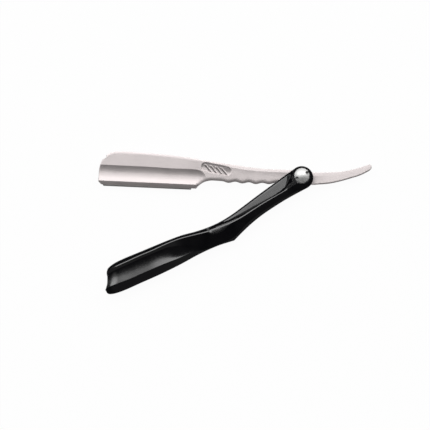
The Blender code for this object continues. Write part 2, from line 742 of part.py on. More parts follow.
def holder_section(x):
    """Rows of (y, half thickness) across the holder, from the spine down."""
    top = spine(x)
    bottom = underside(x)
    half = cheek(x)
    lip = LIP_THICKNESS / 2
    hollow_start, hollow_end = (-share * HOLDER_REACH for share in HOLLOW_END_SHARES)
    in_head = 1 - smooth_step(x, hollow_start, hollow_end)
    in_neck = smooth_step(x, -HEEL_SHARE * HOLDER_REACH, -NECK_SHARE * HOLDER_REACH)
    in_tail = smooth_step(x, 0.0, WASHER_RADIUS)
    crease = line_value(CREASE_LINE_SHARES, -x, HOLDER_REACH, HEAD_HEIGHT)
    crease = mix(crease, mix(top, bottom, TAIL_CREASE_SHARE), in_tail)
    hollow_top = line_value(HOLLOW_TOP_SHARES, -x, HOLDER_REACH, HEAD_HEIGHT)
    bevel_line = max(BEVEL_LINE_SHARE * HEAD_HEIGHT, mix(bottom, hollow_top, BEVEL_LIMIT_SHARE))
    hollow_middle = mix(hollow_top, bevel_line, HOLLOW_MIDDLE_SHARE)
    edge = bottom + NECK_CHAMFER
    head_rows = (hollow_top, hollow_top - SPINE_BEVEL, hollow_middle, bevel_line)
    neck_rows = [mix(crease, edge, share) for share in NECK_ROW_SHARES]
    bevel_foot = mix(top - SPINE_BEVEL, (top + crease) / 2, in_neck)
    rows = [
        (top, half - mix(SPINE_BEVEL / 2, SPINE_BEVEL, in_neck * (1 - in_tail / 2))),
        (bevel_foot, half - SPINE_BEVEL / 2 * in_neck * (1 - in_tail)),
        (crease, half),
    ]
    for head_y, neck_y, depth_share in zip(head_rows, neck_rows, HOLLOW_DEPTH_SHARES):
        rows.append((mix(neck_y, head_y, in_head), half - depth_share * HOLLOW_DEPTH * in_head))
    lip_row = mix(edge, bottom + NECK_CHAMFER / 2, in_head)
    rows.append((lip_row, mix(half, lip + NECK_CHAMFER / 4, in_head)))
    rows.append((bottom, mix(half - NECK_CHAMFER, lip, in_head)))
    for index in range(len(rows) - 2, -1, -1):
        y, depth = rows[index]
        rows[index] = (max(y, rows[index + 1][0] + FACE_GAP * 2), depth)
    return rows


def holder_columns():
    """The grid of the holder's cheek, from the nose to the tip of the tail."""
    nose = -SPINE_SHARES[0][0] * HOLDER_REACH
    heel = -HEEL_SHARE * HOLDER_REACH
    neck = -HOLLOW_END_SHARES[1] * HOLDER_REACH
    wave_end = WAVES * WAVE_PITCH - FIRST_WAVE_SHARE * HOLDER_REACH
    tail = TAIL_TOP_SHARES[-1][0] * TAIL_LENGTH
    stations = list(nose + SPINE_BEVEL * np.array((0.0, 1.0, 2.5, 4.5, 7.0, 10.0)))
    stations += list(np.linspace(stations[-1], heel, 7)[1:])
    stations += list(np.linspace(heel, neck, 8)[1:])
    stations += list(np.linspace(neck, -FIRST_WAVE_SHARE * HOLDER_REACH - WAVE_PITCH / 2, 6)[1:])
    stations += list(np.linspace(stations[-1], wave_end - WAVE_PITCH / 2, 6 * WAVES + 1)[1:])
    stations += list(np.linspace(stations[-1], 0.0, 4)[1:])
    stations += list(np.linspace(0.0, tail, 11)[1:])
    nose_zone = stations[5]
    last_row = len(holder_section(nose)) - 1
    columns = []
    for index, station in enumerate(stations):
        near_nose = 1 - smooth_step(station, nose, nose_zone)
        near_tip = smooth_step(station, tail * TIP_START_SHARE, tail)
        column = []
        for row in range(last_row + 1):
            corner_y = NOSE_SHARES[0][1] * HEAD_HEIGHT + (last_row - row) * NECK_CHAMFER
            start_y = max(holder_section(nose)[row][0], corner_y)
            tip_y = holder_section(tail)[row][0]
            x = station + (nose_end(start_y) - nose) * near_nose + (tail_end(tip_y) - tail) * near_tip
            y, half = holder_section(x)[row]
            if index == 0 or index == len(stations) - 1:
                half = max(half - SPINE_BEVEL / 2, LIP_THICKNESS / 2)
            column.append((x, y, half))
        columns.append(column)
    return columns


def holder_solid():
    bm = bmesh.new()
    columns = holder_columns()
    front = grid_sheet(bm, columns)
    back = grid_sheet(bm, [[(x, y, -half) for x, y, half in column] for column in columns])
    wall_between(bm, rim_of(front), rim_of(back))
    return bm


def jaw_point(share):
    """A place along the jaws, on the line of their screws."""
    x = -HOLDER_REACH + share * JAW_LENGTH
    return x, lip_line() + JAW_HEIGHT * JAW_SCREW_LINE_SHARE


def recess_cutter(side):
    """A slot with round ends, with its slanted ribs left standing."""
    half = RECESS_WIDTH / 2
    straight = RECESS_LENGTH / 2 - half
    points = []
    for centre, start in ((straight, -math.pi / 2), (-straight, math.pi / 2)):
        for step in range(9):
            turn = start + math.pi * step / 8
            points.append((centre + half * math.cos(turn), half * math.sin(turn)))
    surface = side * cheek(-RECESS_PLACE_SHARES[0] * HOLDER_REACH)
    floor = surface - side * RECESS_DEPTH
    outside = surface + side * OVERRUN
    return prism(points, min(floor, outside), max(floor, outside))


def rib(side, number):
    """One slanted grip rib, which stands on the recess's floor."""
    surface = side * cheek(-RECESS_PLACE_SHARES[0] * HOLDER_REACH)
    floor = surface - side * RECESS_DEPTH
    top = floor + side * RIB_HEIGHT
    root = floor - side * RECESS_DEPTH
    along = (number - (RIBS - 1) / 2) * RIB_PITCH
    lean = math.tan(RIB_SLANT) * RECESS_WIDTH / 4
    rise = RECESS_WIDTH / 4
    points = (
        (along + lean - RIB_WIDTH / 2, -rise),
        (along + lean + RIB_WIDTH / 2, -rise),
        (along - lean + RIB_WIDTH / 2, rise),
        (along - lean - RIB_WIDTH / 2, rise),
    )
    return prism(points, min(root, top), max(root, top))


def make_holder(parent, steel, bronze):
    body = place("blade_holder", holder_solid(), parent, steel, sharp=20.0)
    jaw = place("clamp_jaw", holder_solid(), parent, steel, sharp=20.0)
    half = BLADE_THICKNESS / 2 + SLOT_SIDE_GAP
    left = -HOLDER_REACH - OVERRUN
    jaw_end = -HOLDER_REACH + JAW_LENGTH
    jaw_top = lip_line() + JAW_HEIGHT
    low = lip_line() - OVERRUN
    deep = -HEAD_THICKNESS / 2 - OVERRUN
    rebate = block(left, jaw_end, low, jaw_top, deep, -half)
    cut(body, place("jaw_rebate", rebate, parent))
    blade_end = -HOLDER_REACH + BLADE_INSET + BLADE_LENGTH + SLOT_END_GAP
    blade_back = lip_line() - BLADE_EXPOSED + BLADE_WIDTH + SLOT_END_GAP
    slot = block(left, blade_end, low, blade_back, -half - JAW_GAP, half)
    cut(body, place("blade_slot", slot, parent))
    keep = block(left, jaw_end - JAW_GAP, low, jaw_top - JAW_GAP, deep, -half - JAW_GAP)
    cut(jaw, place("jaw_bounds", keep, parent), "INTERSECT")

    boss = rod(BOSS_RADIUS, -TANG_THICKNESS / 2, TANG_THICKNESS / 2, ROUND_SIDES)
    cut(body, place("tang_boss", boss, parent), "UNION")
    tang_bore = rod(BUSH_RADIUS + FIT_GAP, -TANG_THICKNESS, TANG_THICKNESS, ROUND_SIDES)
    cut(body, place("tang_bore", tang_bore, parent))
    bush = ring(PIVOT_RADIUS + RUNNING_GAP, BUSH_RADIUS, -TANG_THICKNESS / 2, TANG_THICKNESS / 2)
    place("tang_bush", bush, parent, bronze)

    x = -RECESS_PLACE_SHARES[0] * HOLDER_REACH
    y = RECESS_PLACE_SHARES[1] * HEAD_HEIGHT
    for side, name in ((1, "front"), (-1, "back")):
        recess = place(f"{name}_recess", recess_cutter(side), parent, None, (x, y, 0.0), RECESS_TILT)
        cut(body, recess)
        for number in range(RIBS):
            bar = rib(side, number)
            guide = place(f"{name}_rib_{number + 1}", bar, parent, None, (x, y, 0.0), RECESS_TILT)
            cut(body, guide, "UNION")

    seat = -HEAD_THICKNESS / 2 + JAW_SCREW_HEAD_THICKNESS
    for number, share in enumerate(JAW_SCREW_SHARES, 1):
        x, y = jaw_point(share)
        hole = rod(JAW_SCREW_RADIUS + FIT_GAP, -HEAD_THICKNESS, JAW_SCREW_BITE + DIMPLE_GAP)
        cut(body, place(f"jaw_screw_hole_{number}", hole, parent, None, (x, y, 0.0)))
        way = turned(
            (
                (JAW_SCREW_RADIUS + FIT_GAP, OVERRUN),
                (JAW_SCREW_RADIUS + FIT_GAP, seat),
                (JAW_SCREW_HEAD_RADIUS + FIT_GAP, seat),
                (JAW_SCREW_HEAD_RADIUS + FIT_GAP, deep),
            ),
            SMALL_SIDES,
        )
        cut(jaw, place(f"jaw_screw_way_{number}", way, parent, None, (x, y, 0.0)))
        head = seat - FIT_GAP - JAW_SCREW_HEAD_THICKNESS + DIMPLE_GAP
        screw = turned(
            (
                (DRIVE_RADIUS, head + DRIVE_DEPTH),
                (DRIVE_RADIUS, head),
                (JAW_SCREW_HEAD_RADIUS, head),
                (JAW_SCREW_HEAD_RADIUS, seat - FIT_GAP),
                (JAW_SCREW_RADIUS, seat - FIT_GAP),
                (JAW_SCREW_RADIUS, JAW_SCREW_BITE),
            ),
            SMALL_SIDES,
        )
        place(f"jaw_screw_{number}", screw, parent, steel, (x, y, 0.0))
    for number, share in enumerate(JAW_DOWEL_SHARES, 1):
        x, y = jaw_point(share)
        low_end = JAW_DOWEL_COVER - HEAD_THICKNESS / 2
        hole = rod(JAW_DOWEL_RADIUS + FIT_GAP, low_end - DIMPLE_GAP, JAW_DOWEL_BITE + DIMPLE_GAP)
        guide = place(f"jaw_dowel_hole_{number}", hole, parent, None, (x, y, 0.0))
        cut(body, guide)
        cut(jaw, guide)
        pin = rod(JAW_DOWEL_RADIUS, low_end, JAW_DOWEL_BITE)
        place(f"jaw_dowel_{number}", pin, parent, steel, (x, y, 0.0))


def make_blade(parent, steel):
    """The single-edge blade: ground along its lower edge, with its back corners cut off."""
    bm = bmesh.new()
    left = -HOLDER_REACH + BLADE_INSET
    right = left + BLADE_LENGTH
    edge = lip_line() - BLADE_EXPOSED
    back = edge + BLADE_WIDTH
    outline = (
        (left + BLADE_CORNER / 2, edge, BLADE_EDGE_THICKNESS),
        (right - BLADE_CORNER / 2, edge, BLADE_EDGE_THICKNESS),
        (right, edge + BLADE_EDGE_WIDTH, BLADE_THICKNESS),
        (right, back - BLADE_CORNER, BLADE_THICKNESS),
        (right - BLADE_CORNER, back, BLADE_THICKNESS),
        (left + BLADE_CORNER, back, BLADE_THICKNESS),
        (left, back - BLADE_CORNER, BLADE_THICKNESS),
        (left, edge + BLADE_EDGE_WIDTH, BLADE_THICKNESS),
    )
    front = [bm.verts.new((x, y, thick / 2)) for x, y, thick in outline]
    behind = [bm.verts.new((x, y, -thick / 2)) for x, y, thick in outline]
    wall_between(bm, front, behind)
    for sheet in (front, behind):
        bm.faces.new((sheet[0], sheet[1], sheet[2], sheet[7]))
        bm.faces.new((sheet[7], sheet[2], sheet[3], sheet[4], sheet[5], sheet[6]))
    place("razor_blade", bm, parent, steel)


def main():
    for item in list(bpy.data.objects):
        bpy.data.objects.remove(item, do_unlink=True)
    black = finish("black_plastic", (0.004, 0.004, 0.005), 0.28, 0.0)
    steel = finish("satin_steel", (0.62, 0.60, 0.59), 0.38, 1.0)
    bright = finish("blade_steel", (0.70, 0.70, 0.70), 0.18, 1.0)
    chrome = finish("polished_steel", (0.80, 0.80, 0.80), 0.14, 1.0)
    fastener = finish("fastener_steel", (0.45, 0.45, 0.46), 0.35, 1.0)
    brass = finish("brass", (0.72, 0.52, 0.22), 0.30, 1.0)
    bronze = finish("bronze", (0.56, 0.36, 0.18), 0.40, 1.0)

    handle = frame("handle_frame", HANDLE_ANGLE)
    make_scales(handle, black)
    make_spacers(handle, black, fastener)
    make_scale_screws(handle, fastener, brass)
    make_pivot(handle, chrome, fastener, bronze)

    holder = frame("holder_frame", HOLDER_ANGLE)
    make_holder(holder, steel, bronze)
    make_blade(holder, bright)


main()
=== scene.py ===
"""Looks of the folding straight razor: finer surfaces, finishes, floor, lights and camera.

Metres, +Z up, in the CAD model's frame. The handle and the holder are shaped in frames of their
own: the pivot is the origin, the length runs along -X, and Z = 0 is the middle of the thickness.
"""

from math import asin, cos, pi, radians, sin, tan

import bmesh
import bpy
import numpy as np
from mathutils import Matrix, Vector


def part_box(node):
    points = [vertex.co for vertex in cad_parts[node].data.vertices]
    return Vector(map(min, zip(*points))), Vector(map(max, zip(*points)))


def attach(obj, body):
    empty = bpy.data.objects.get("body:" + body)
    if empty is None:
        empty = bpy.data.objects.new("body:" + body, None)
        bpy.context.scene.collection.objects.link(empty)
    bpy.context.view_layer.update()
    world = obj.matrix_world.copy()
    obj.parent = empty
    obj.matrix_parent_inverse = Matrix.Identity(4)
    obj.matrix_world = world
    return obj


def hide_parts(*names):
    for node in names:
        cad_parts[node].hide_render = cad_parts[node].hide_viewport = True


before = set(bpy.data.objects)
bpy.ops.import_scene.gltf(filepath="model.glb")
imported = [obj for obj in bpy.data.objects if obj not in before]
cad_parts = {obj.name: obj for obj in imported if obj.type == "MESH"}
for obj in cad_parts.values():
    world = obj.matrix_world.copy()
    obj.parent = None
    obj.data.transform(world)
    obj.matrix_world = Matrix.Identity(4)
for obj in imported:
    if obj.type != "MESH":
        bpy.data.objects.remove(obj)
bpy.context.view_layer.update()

# Directions in which the holder and the handle lie
HOLDER_ANGLE = radians(-2.573)
HANDLE_ANGLE = radians(28.443)

# Handle scales
HANDLE_REACH = 0.1532
HANDLE_WIDTH = 0.0200
END_RADIUS = 0.00785
END_CENTRE_X = -0.0009
END_CENTRE_Y = -0.0012
SCALE_ROUND = 0.0003
BEVEL_WIDTH = 0.0009
BEVEL_LEAN = tan(radians(12.5))
RAMP_LEAN = tan(radians(6.3))
LEDGE_DROP = 0.00045
PANEL_MARGIN = 0.0009
PANEL_STEP = 0.00012
PANEL_DROP = 0.0003
PANEL_LEAN = tan(radians(9.2))
PANEL_TIP_LEAN = tan(radians(12.5))
RIDGE_DROP = 0.0002
NECK_DROP = 0.0005
LOWER_DROP = 0.00115
CREASE_DEPTH = 0.0007
CREASE_RUN = 0.0060
WEDGE_DIP = 0.00055
TOE_ZONE = 0.012
TOE_FADE_START = 0.0025
TOE_FADE_END = 0.0080
SQUEEZE = 0.00002

# Blade holder
HOLDER_REACH = 0.1371
HEAD_HEIGHT = 0.0228
HEAD_THICKNESS = 0.0050
TAIL_LENGTH = 0.0469
TANG_THICKNESS = 0.0043
TAIL_TIP_THICKNESS = 0.0028
LIP_THICKNESS = 0.0013
HOLDER_ROUND = 0.00012
SPINE_BEVEL = 0.0018
SPINE_BEVEL_DROP = 0.00013
NECK_BEVEL_LEAN = tan(radians(4.6))
NECK_LEAN = tan(radians(3.0))
NECK_LEAN_WIDTH = 0.0034
NECK_CHAMFER = 0.0029
NECK_CHAMFER_DROP = 0.00072
NECK_CHAMFER_POWER = 2.9
TAIL_CHAMFER = 0.0010
TAIL_CHAMFER_DROP = 0.00036
TAIL_CHAMFER_POWER = 1.6
TAIL_LEAN = tan(radians(2.6))
NOSE_ROW_GAP = 0.00025
NOSE_ZONE = 0.010
NOSE_CHAMFER = 0.00045
NOSE_CHAMFER_DROP = 0.00035
HOLLOW_TOP_LEAN = tan(radians(22.5))
HOLLOW_LOW_LEAN = tan(radians(7.5))
WAVE_PITCH = 0.00913
WAVE_DEPTH = 0.00095
WAVES = 4
WASHER_RADIUS = 0.0048

# Grip recess on each cheek of the neck
RECESS_LENGTH = 0.0208
RECESS_WIDTH = 0.0064
RECESS_DEPTH = 0.00058
RECESS_WALL = 0.0009
RECESS_LOW_WALL = 0.0004
RECESS_HEAD_SHARE = 0.40
RECESS_SHADE = 0.30
RECESS_FLOOR_SHARES = (-0.25, 1.0)
RECESS_SHADE_SHARES = (-0.6, 0.4)
RECESS_RIM_SHARES = (-0.8, -0.3)
RECESS_TILT = radians(-9.0)
RIB_WIDTH = 0.0009
RIB_PITCH = 0.0037
RIB_HEIGHT = 0.00032
RIB_SLANT = radians(50.0)
RIB_MIDDLE = -0.0006
RIB_REACH = 0.0019
RIBS = 4

# Jaws and the blade's slot
JAW_HEIGHT = 0.0185
JAW_END_SHARE = 0.5055
JAW_LENGTH = HOLDER_REACH * (1 - JAW_END_SHARE)
JAW_GAP = 0.00003
JAW_EDGE = 0.00012
BLADE_THICKNESS = 0.000254
BLADE_END_COVER = 0.0046
BLADE_WIDTH = 0.0100
BLADE_EXPOSED = 0.0009
SLOT_SIDE_GAP = 0.00005
SLOT_END_GAP = 0.0003

# Fasteners that cut into the pieces made here
PIVOT_RADIUS = 0.0020
PIVOT_HEAD_RADIUS = 0.00505
PIVOT_HEAD_RISE = 0.0022
PIVOT_HEAD_RIM = 0.0006
PIVOT_SEAT_DEPTH = 0.0007
NOTCH_RADIUS = 0.0011
NOTCH_PLACE = 0.0039
NOTCH_DEPTH = 0.0009
NOTCH_TIP = 0.0003
THREAD_RADIUS = 0.0015
SHOULDER_RISE = 0.0004
NUT_HEAD_RADIUS = 0.0048
NUT_HEAD_THICKNESS = 0.0010
NUT_BARREL_RADIUS = 0.0027
NUT_PROUD = 0.0003
SPRING_THICKNESS = 0.0004
BUSH_RADIUS = 0.0026
FACE_GAP = 0.00005
FIT_GAP = 0.00003
DIMPLE_GAP = 0.0002
SCREW_FLARE = 3 * DIMPLE_GAP
SCREW_RADIUS = 0.0008
SCREW_HEAD_RADIUS = 0.0016
SCREW_SEAT = 0.0009
JAW_SCREW_RADIUS = 0.0010
JAW_SCREW_HEAD_RADIUS = 0.0018
JAW_SCREW_HEAD_THICKNESS = 0.0009
OVERRUN = 0.0010
STEEP = 50.0
ROUND_SIDES = 96
DOME_RINGS = 26

# Outlines of the handle: shares of the reach toward the toe, and of the width
UPPER_SHARES = (
    (0.951, 0.315), (0.947, 0.347), (0.938, 0.378), (0.926, 0.4), (0.907, 0.414), (0.868, 0.405),
    (0.83, 0.377), (0.792, 0.345), (0.716, 0.285), (0.64, 0.22), (0.585, 0.155), (0.532, 0.055),
    (0.477, -0.02), (0.42, -0.055), (0.358, -0.035), (0.294, 0.03), (0.228, 0.107), (0.164, 0.175),
    (0.099, 0.2415), (0.036, 0.303), (0.006, 0.3325),
)
LOWER_TOE_SHARES = (
    (0.999, -0.345), (0.997, -0.385), (0.992, -0.425), (0.983, -0.462), (0.969, -0.497), (0.948, -0.53),
    (0.92, -0.558), (0.852, -0.597), (0.756, -0.655), (0.658, -0.685), (0.558, -0.685), (0.51, -0.705),
    (0.462, -0.745), (0.417, -0.81), (0.397, -0.84),
)
LOWER_NECK_SHARES = (
    (0.397, -0.84), (0.351, -0.73), (0.305, -0.635), (0.238, -0.535), (0.174, -0.485), (0.112, -0.455),
    (0.052, -0.45), (0.006, -0.4525),
)
TOE_END_SHARES = (
    (0.951, 0.315), (0.955, 0.285), (0.959, 0.24), (0.964, 0.13), (0.971, 0.02), (0.982, -0.12),
    (0.995, -0.24), (0.999, -0.3), (0.999, -0.345),
)
BEVEL_SHARES = (
    (0.96, 0.29), (0.924, 0.297), (0.843, 0.26), (0.787, 0.23), (0.747, 0.197), (0.65, 0.14),
    (0.604, 0.09), (0.559, 0.01), (0.515, -0.078), (0.483, -0.138), (0.447, -0.177), (0.375, -0.252),
    (0.315, -0.258), (0.275, -0.235), (0.198, -0.195), (0.123, -0.18), (0.095, -0.172), (0.072, -0.16),
    (0.036, -0.15), (0.0, -0.145),
)
BEVEL_WIDTH_SHARES = (
    (0.96, 0.48), (0.8, 0.52), (0.6, 0.44), (0.54, 0.46), (0.48, 0.62), (0.43, 0.85), (0.395, 0.85),
    (0.365, 0.7), (0.3, 0.66), (0.26, 0.56), (0.18, 0.44), (0.1, 0.36), (0.0, 0.36),
)
FOOT_RISE_SHARES = (
    (0.112, 0.0), (0.095, 0.008), (0.078, 0.045), (0.065, 0.075), (0.052, 0.13), (0.0457, 0.205),
    (0.039, 0.28), (0.034, 0.32), (0.02, 0.345), (0.0, 0.35),
)
PANEL_SHARES = (
    (0.4, -0.115), (0.366, -0.145), (0.339, -0.166), (0.313, -0.181), (0.287, -0.189), (0.261, -0.183),
    (0.235, -0.172), (0.196, -0.156), (0.157, -0.139), (0.131, -0.119), (0.105, -0.09), (0.087, -0.042),
    (0.077, 0.036), (0.066, 0.13), (0.0575, 0.238),
)
PANEL_BASE_SHARE = -0.138
RIDGE_SHARES = (
    (1.0, -0.192), (0.96, -0.214), (0.881, -0.293), (0.822, -0.33), (0.787, -0.352), (0.744, -0.38),
    (0.692, -0.424), (0.645, -0.47), (0.587, -0.51), (0.531, -0.635), (0.47, -0.7), (0.397, -0.74),
    (0.305, -0.53), (0.174, -0.4), (0.006, -0.38),
)
CREASE_SHARES = ((-0.840, 0.397), (-0.540, 0.423), (-0.320, 0.458), (-0.130, 0.494), (0.1, 0.530))
SCOOP_MIDDLE_SHARES = (
    (0.9, 0.16), (0.7, 0.17), (0.665, 0.2), (0.627, 0.36), (0.588, 0.62), (0.54, 0.92),
)
SCOOP_POWERS = ((0.900, 3.5), (0.780, 2.8), (0.700, 1.8), (0.665, 1.0), (0.540, 1.0))
SCOOP_LEANS = (
    (0.992, 7.8), (0.975, 9.3), (0.955, 10.0), (0.9, 10.7), (0.86, 10.7), (0.78, 10.6), (0.7, 12.0),
    (0.665, 12.2), (0.627, 11.0), (0.588, 9.0), (0.56, 5.5), (0.53, 0.0),
)
SCOOP_FADE_SHARES = (0.660, 0.540)
SCOOP_WALL_POWER = 1.2
SCOOP_LEAN_SHARE = 0.35
GROOVE_SHARES = (0.12, 0.55, 0.88)
WEDGE_SHARES = (0.485, 0.465, 0.431, 0.359)
WEDGE_WIDTH_SHARE = 0.3
WEDGE_ROUND_SHARE = 0.19
PANEL_LEAN_SHARES = (0.380, 0.250)
BOSS_SHARES = (0.075, 0.030)
BOSS_GRID_SHARE = 0.144
DULL_SHARES = (0.105, 0.030)
RAMP_SHARES = (0.110, 0.068, 0.034, 0.012)
STRIP_RISE_SHARES = (0.062, 0.020)
END_TURN = radians(88)

# Outlines of the blade holder: shares of the reach toward the nose, and of the head's height
SPINE_SHARES = (
    (0.964, 0.345), (0.945, 0.42), (0.926, 0.46), (0.901, 0.474), (0.852, 0.473), (0.753, 0.461),
    (0.654, 0.43), (0.555, 0.382), (0.456, 0.307), (0.357, 0.241), (0.258, 0.18), (0.198, 0.154),
    (0.134, 0.152), (0.06, 0.152), (0.0, 0.13),
)
UNDERSIDE_SHARES = (
    (0.5195, -0.525), (0.517, -0.522), (0.509, -0.465), (0.501, -0.417), (0.486, -0.346), (0.471, -0.303),
    (0.451, -0.27), (0.422, -0.263), (0.392, -0.268), (0.323, -0.268), (0.259, -0.268), (0.195, -0.268),
    (0.131, -0.246), (0.06, -0.25), (0.0, -0.26),
)
NOSE_SHARES = (
    (0.9955, -0.456), (0.9983, -0.338), (0.998, -0.158), (0.9955, -0.009), (0.99, 0.11), (0.979, 0.245),
    (0.964, 0.345),
)
HOLLOW_TOP_SHARES = (
    (1.0, 0.062), (0.898, 0.061), (0.75, 0.057), (0.627, 0.042), (0.543, 0.045), (0.508, 0.028),
    (0.488, -0.028), (0.475, -0.115), (0.466, -0.195),
)
CREASE_LINE_SHARES = (
    (1.0, 0.2), (0.753, 0.24), (0.555, 0.21), (0.456, 0.175), (0.346, 0.136), (0.257, 0.083),
    (0.158, 0.066), (0.069, 0.066), (0.0, 0.05),
)
TAIL_TOP_SHARES = (
    (0.0, 0.13), (0.17, 0.114), (0.401, 0.136), (0.574, 0.175), (0.687, 0.228), (0.829, 0.32),
    (0.97, 0.425),
)
TAIL_LOW_SHARES = (
    (0.0, -0.26), (0.151, -0.263), (0.267, -0.237), (0.409, -0.197), (0.55, -0.123), (0.693, -0.026),
    (0.861, 0.105), (0.974, 0.237),
)
TAIL_TIP_SHARES = ((0.974, 0.237), (0.996, 0.300), (0.9993, 0.364), (0.990, 0.405), (0.970, 0.425))
HEEL_SHARE = 0.5195
JAW_CORNER_SHARE = 0.984
NECK_SHARES = (0.400, 0.330)
TANG_SHARE = 0.060
HOLLOW_END_SHARES = (0.494, 0.462)
HEEL_FADE_SHARES = (0.5225, 0.5135)
HOLLOW_MIDDLE_SHARE = 0.46
HOLLOW_STRAIGHT_SHARE = 0.80
BEVEL_LINE_SHARE = -0.408
BEVEL_TOP_LEAN_SHARE = 0.65
BEVEL_LIMIT_SHARE = 0.05
TAIL_CREASE_SHARE = 0.3
NECK_ROW_SHARES = (0.1, 0.7, 0.85)
TAIL_BEVEL_SHARE = 0.15
TIP_START_SHARE = 0.8
RECESS_PLACE_SHARES = (0.422, 0.086)
FIRST_WAVE_SHARE = 0.358

# Places of the fasteners, as in the outlines above
SCREW_PLACE_SHARES = ((0.395, -0.480), (0.927, 0.260))
JAW_SCREW_SHARES = (0.10, 0.47, 0.84)
JAW_SCREW_LINE_SHARE = 0.84

# Middle of the pivot's length, and the channel between the scales, from the CAD model
low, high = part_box("tang_bush")
PIVOT = (low + high) / 2
scale_low, scale_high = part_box("front_scale")
WALL = scale_low.z - PIVOT.z
SCALE_THICKNESS = scale_high.z - scale_low.z
FACE = WALL + SCALE_THICKNESS


# Lines and small sums

def curve(shares, reach=HANDLE_REACH, width=HANDLE_WIDTH):
    """The smooth line through points given as shares, as a function of the place along it."""
    runs = np.array([share for share, _ in shares]) * reach
    rises = np.array([rise for _, rise in shares]) * width
    if runs[0] > runs[-1]:
        runs, rises = runs[::-1], rises[::-1]
    slopes = np.gradient(rises, runs)

    def value(place):
        place = np.clip(place, runs[0], runs[-1])
        index = np.clip(np.searchsorted(runs, place) - 1, 0, len(runs) - 2)
        gap = runs[index + 1] - runs[index]
        share = (place - runs[index]) / gap
        near = (1 + 2 * share) * (1 - share) ** 2 * rises[index]
        far = share**2 * (3 - 2 * share) * rises[index + 1]
        lean = share * (1 - share) ** 2 * slopes[index] - share**2 * (1 - share) * slopes[index + 1]
        return near + far + lean * gap

    return value


def swapped(shares):
    return [(rise, share) for share, rise in shares]


def ease(value, start, end):
    """0 at start, 1 at end and a soft S between them."""
    share = np.clip((value - start) / (end - start), 0.0, 1.0)
    return share * share * (3 - 2 * share)


def fade(x, shares, reach=HANDLE_REACH):
    """0 up to the first of two places along a reach, and 1 from the second one on."""
    return ease(x, -shares[0] * reach, -shares[1] * reach)


def share_down(y, top, bottom):
    """0 at the top line and 1 at the bottom line."""
    return np.clip((top - y) / np.maximum(top - bottom, SQUEEZE), 0.0, 1.0)


def mix(first, second, share):
    return first + (second - first) * share


def round_drop(distance, radius):
    """How far a rounded edge lies under its face, at a distance inside the outline."""
    inside = np.clip(1 - distance / radius, 0.0, 1.0)
    return radius * (1 - np.sqrt(1 - inside * inside))


def row_places(counts, rounded):
    """Rows as (key line, share of the way to the next one); rounded keys crowd toward an edge."""
    rows = []
    for key, count in enumerate(counts):
        steps = np.arange(count) / count
        crowded = {"start": steps**2, "end": 1 - (1 - steps) ** 2}
        rows += [(key, share) for share in crowded.get(rounded.get(key), steps).tolist()]
    return rows + [(len(counts), 0.0)]


def columns(stops, counts):
    """Evenly spread places between each stop and the next, without the last stop."""
    return [np.linspace(*ends, count, endpoint=False) for *ends, count in zip(stops, stops[1:], counts)]


def lines_between(keys, rows):
    """The height of each row, between the key lines on both sides of it; keys are arrays."""
    return np.stack([
        keys[key][:, index] if share == 0.0
        else mix(keys[key][:, index], keys[key + 1][:, index], share)
        for index, (key, share) in enumerate(rows)
    ], axis=1)


def descending(keys):
    """Key lines held in order from the top down, a hair apart where they would cross."""
    keys = list(keys)
    for index in range(1, len(keys)):
        keys[index] = np.minimum(keys[index], keys[0] - index * SQUEEZE)
    for index in range(len(keys) - 2, -1, -1):
        keys[index] = np.maximum(keys[index], keys[index + 1] + SQUEEZE)
    return keys


# Mesh helpers

def rim_of(shape):
    """Grid places round the rim of a grid, in order."""
    last_i, last_j = shape[0] - 1, shape[1] - 1
    rim = [(0, j) for j in range(last_j)]
    rim += [(i, last_j) for i in range(last_i)]
    rim += [(last_i, j) for j in range(last_j, 0, -1)]
    rim += [(i, 0) for i in range(last_i, 0, -1)]
    return rim


def mesh_of(name, points, faces):
    mesh = bpy.data.meshes.new(name)
    mesh.from_pydata(points, [], faces)
    bm = bmesh.new()
    bm.from_mesh(mesh)
    bmesh.ops.recalc_face_normals(bm, faces=bm.faces)
    bm.to_mesh(mesh)
    bm.free()
    return mesh


def terraced(name, x, y, front, floors, levels):
    """A closed mesh under a front face; each cell's back lies at the floor that its level names."""
    index = np.arange(x.size).reshape(x.shape)
    corners = (index[:-1, :-1], index[:-1, 1:], index[1:, 1:], index[1:, :-1])
    faces = np.stack(corners, axis=-1).reshape(-1, 4).tolist()
    points = np.stack((x, y, front), axis=-1).reshape(-1, 3).tolist()
    last_i, last_j = levels.shape[0] - 1, levels.shape[1] - 1
    made = {}

    def vertex(place, level):
        if (place, level) not in made:
            made[(place, level)] = len(points)
            points.append((x[place], y[place], floors[level][place]))
        return made[(place, level)]

    def levels_at(i, j):
        return sorted(set(levels[max(i - 1, 0):i + 1, max(j - 1, 0):j + 1].flat))

    for i, j in np.ndindex(levels.shape):
        level = levels[i, j]
        first, far, second = (i + 1, j), (i + 1, j + 1), (i, j + 1)
        faces.append([vertex(place, level) for place in ((i, j), first, far, second)])
        for near in (first, second):
            if near[0] <= last_i and near[1] <= last_j and levels[near] != level:
                ends = ((near, level), (far, level), (far, levels[near]), (near, levels[near]))
                faces.append([vertex(*end) for end in ends])
    rim = rim_of(x.shape)
    for here, after in zip(rim, rim[1:] + rim[:1]):
        level = levels[min(here[0], after[0], last_i), min(here[1], after[1], last_j)]
        wall = [int(index[here]), int(index[after])]
        wall += [vertex(after, step) for step in reversed(levels_at(*after)) if step > level]
        wall += [vertex(after, level), vertex(here, level)]
        wall += [vertex(here, step) for step in levels_at(*here) if step > level]
        faces.append(wall)
    return mesh_of(name, points, faces)


def shell(name, x, y, front, back):
    """A closed mesh between two heights over one grid."""
    return terraced(name, x, y, front, (back,), np.zeros_like(x[1:, 1:], dtype=int))


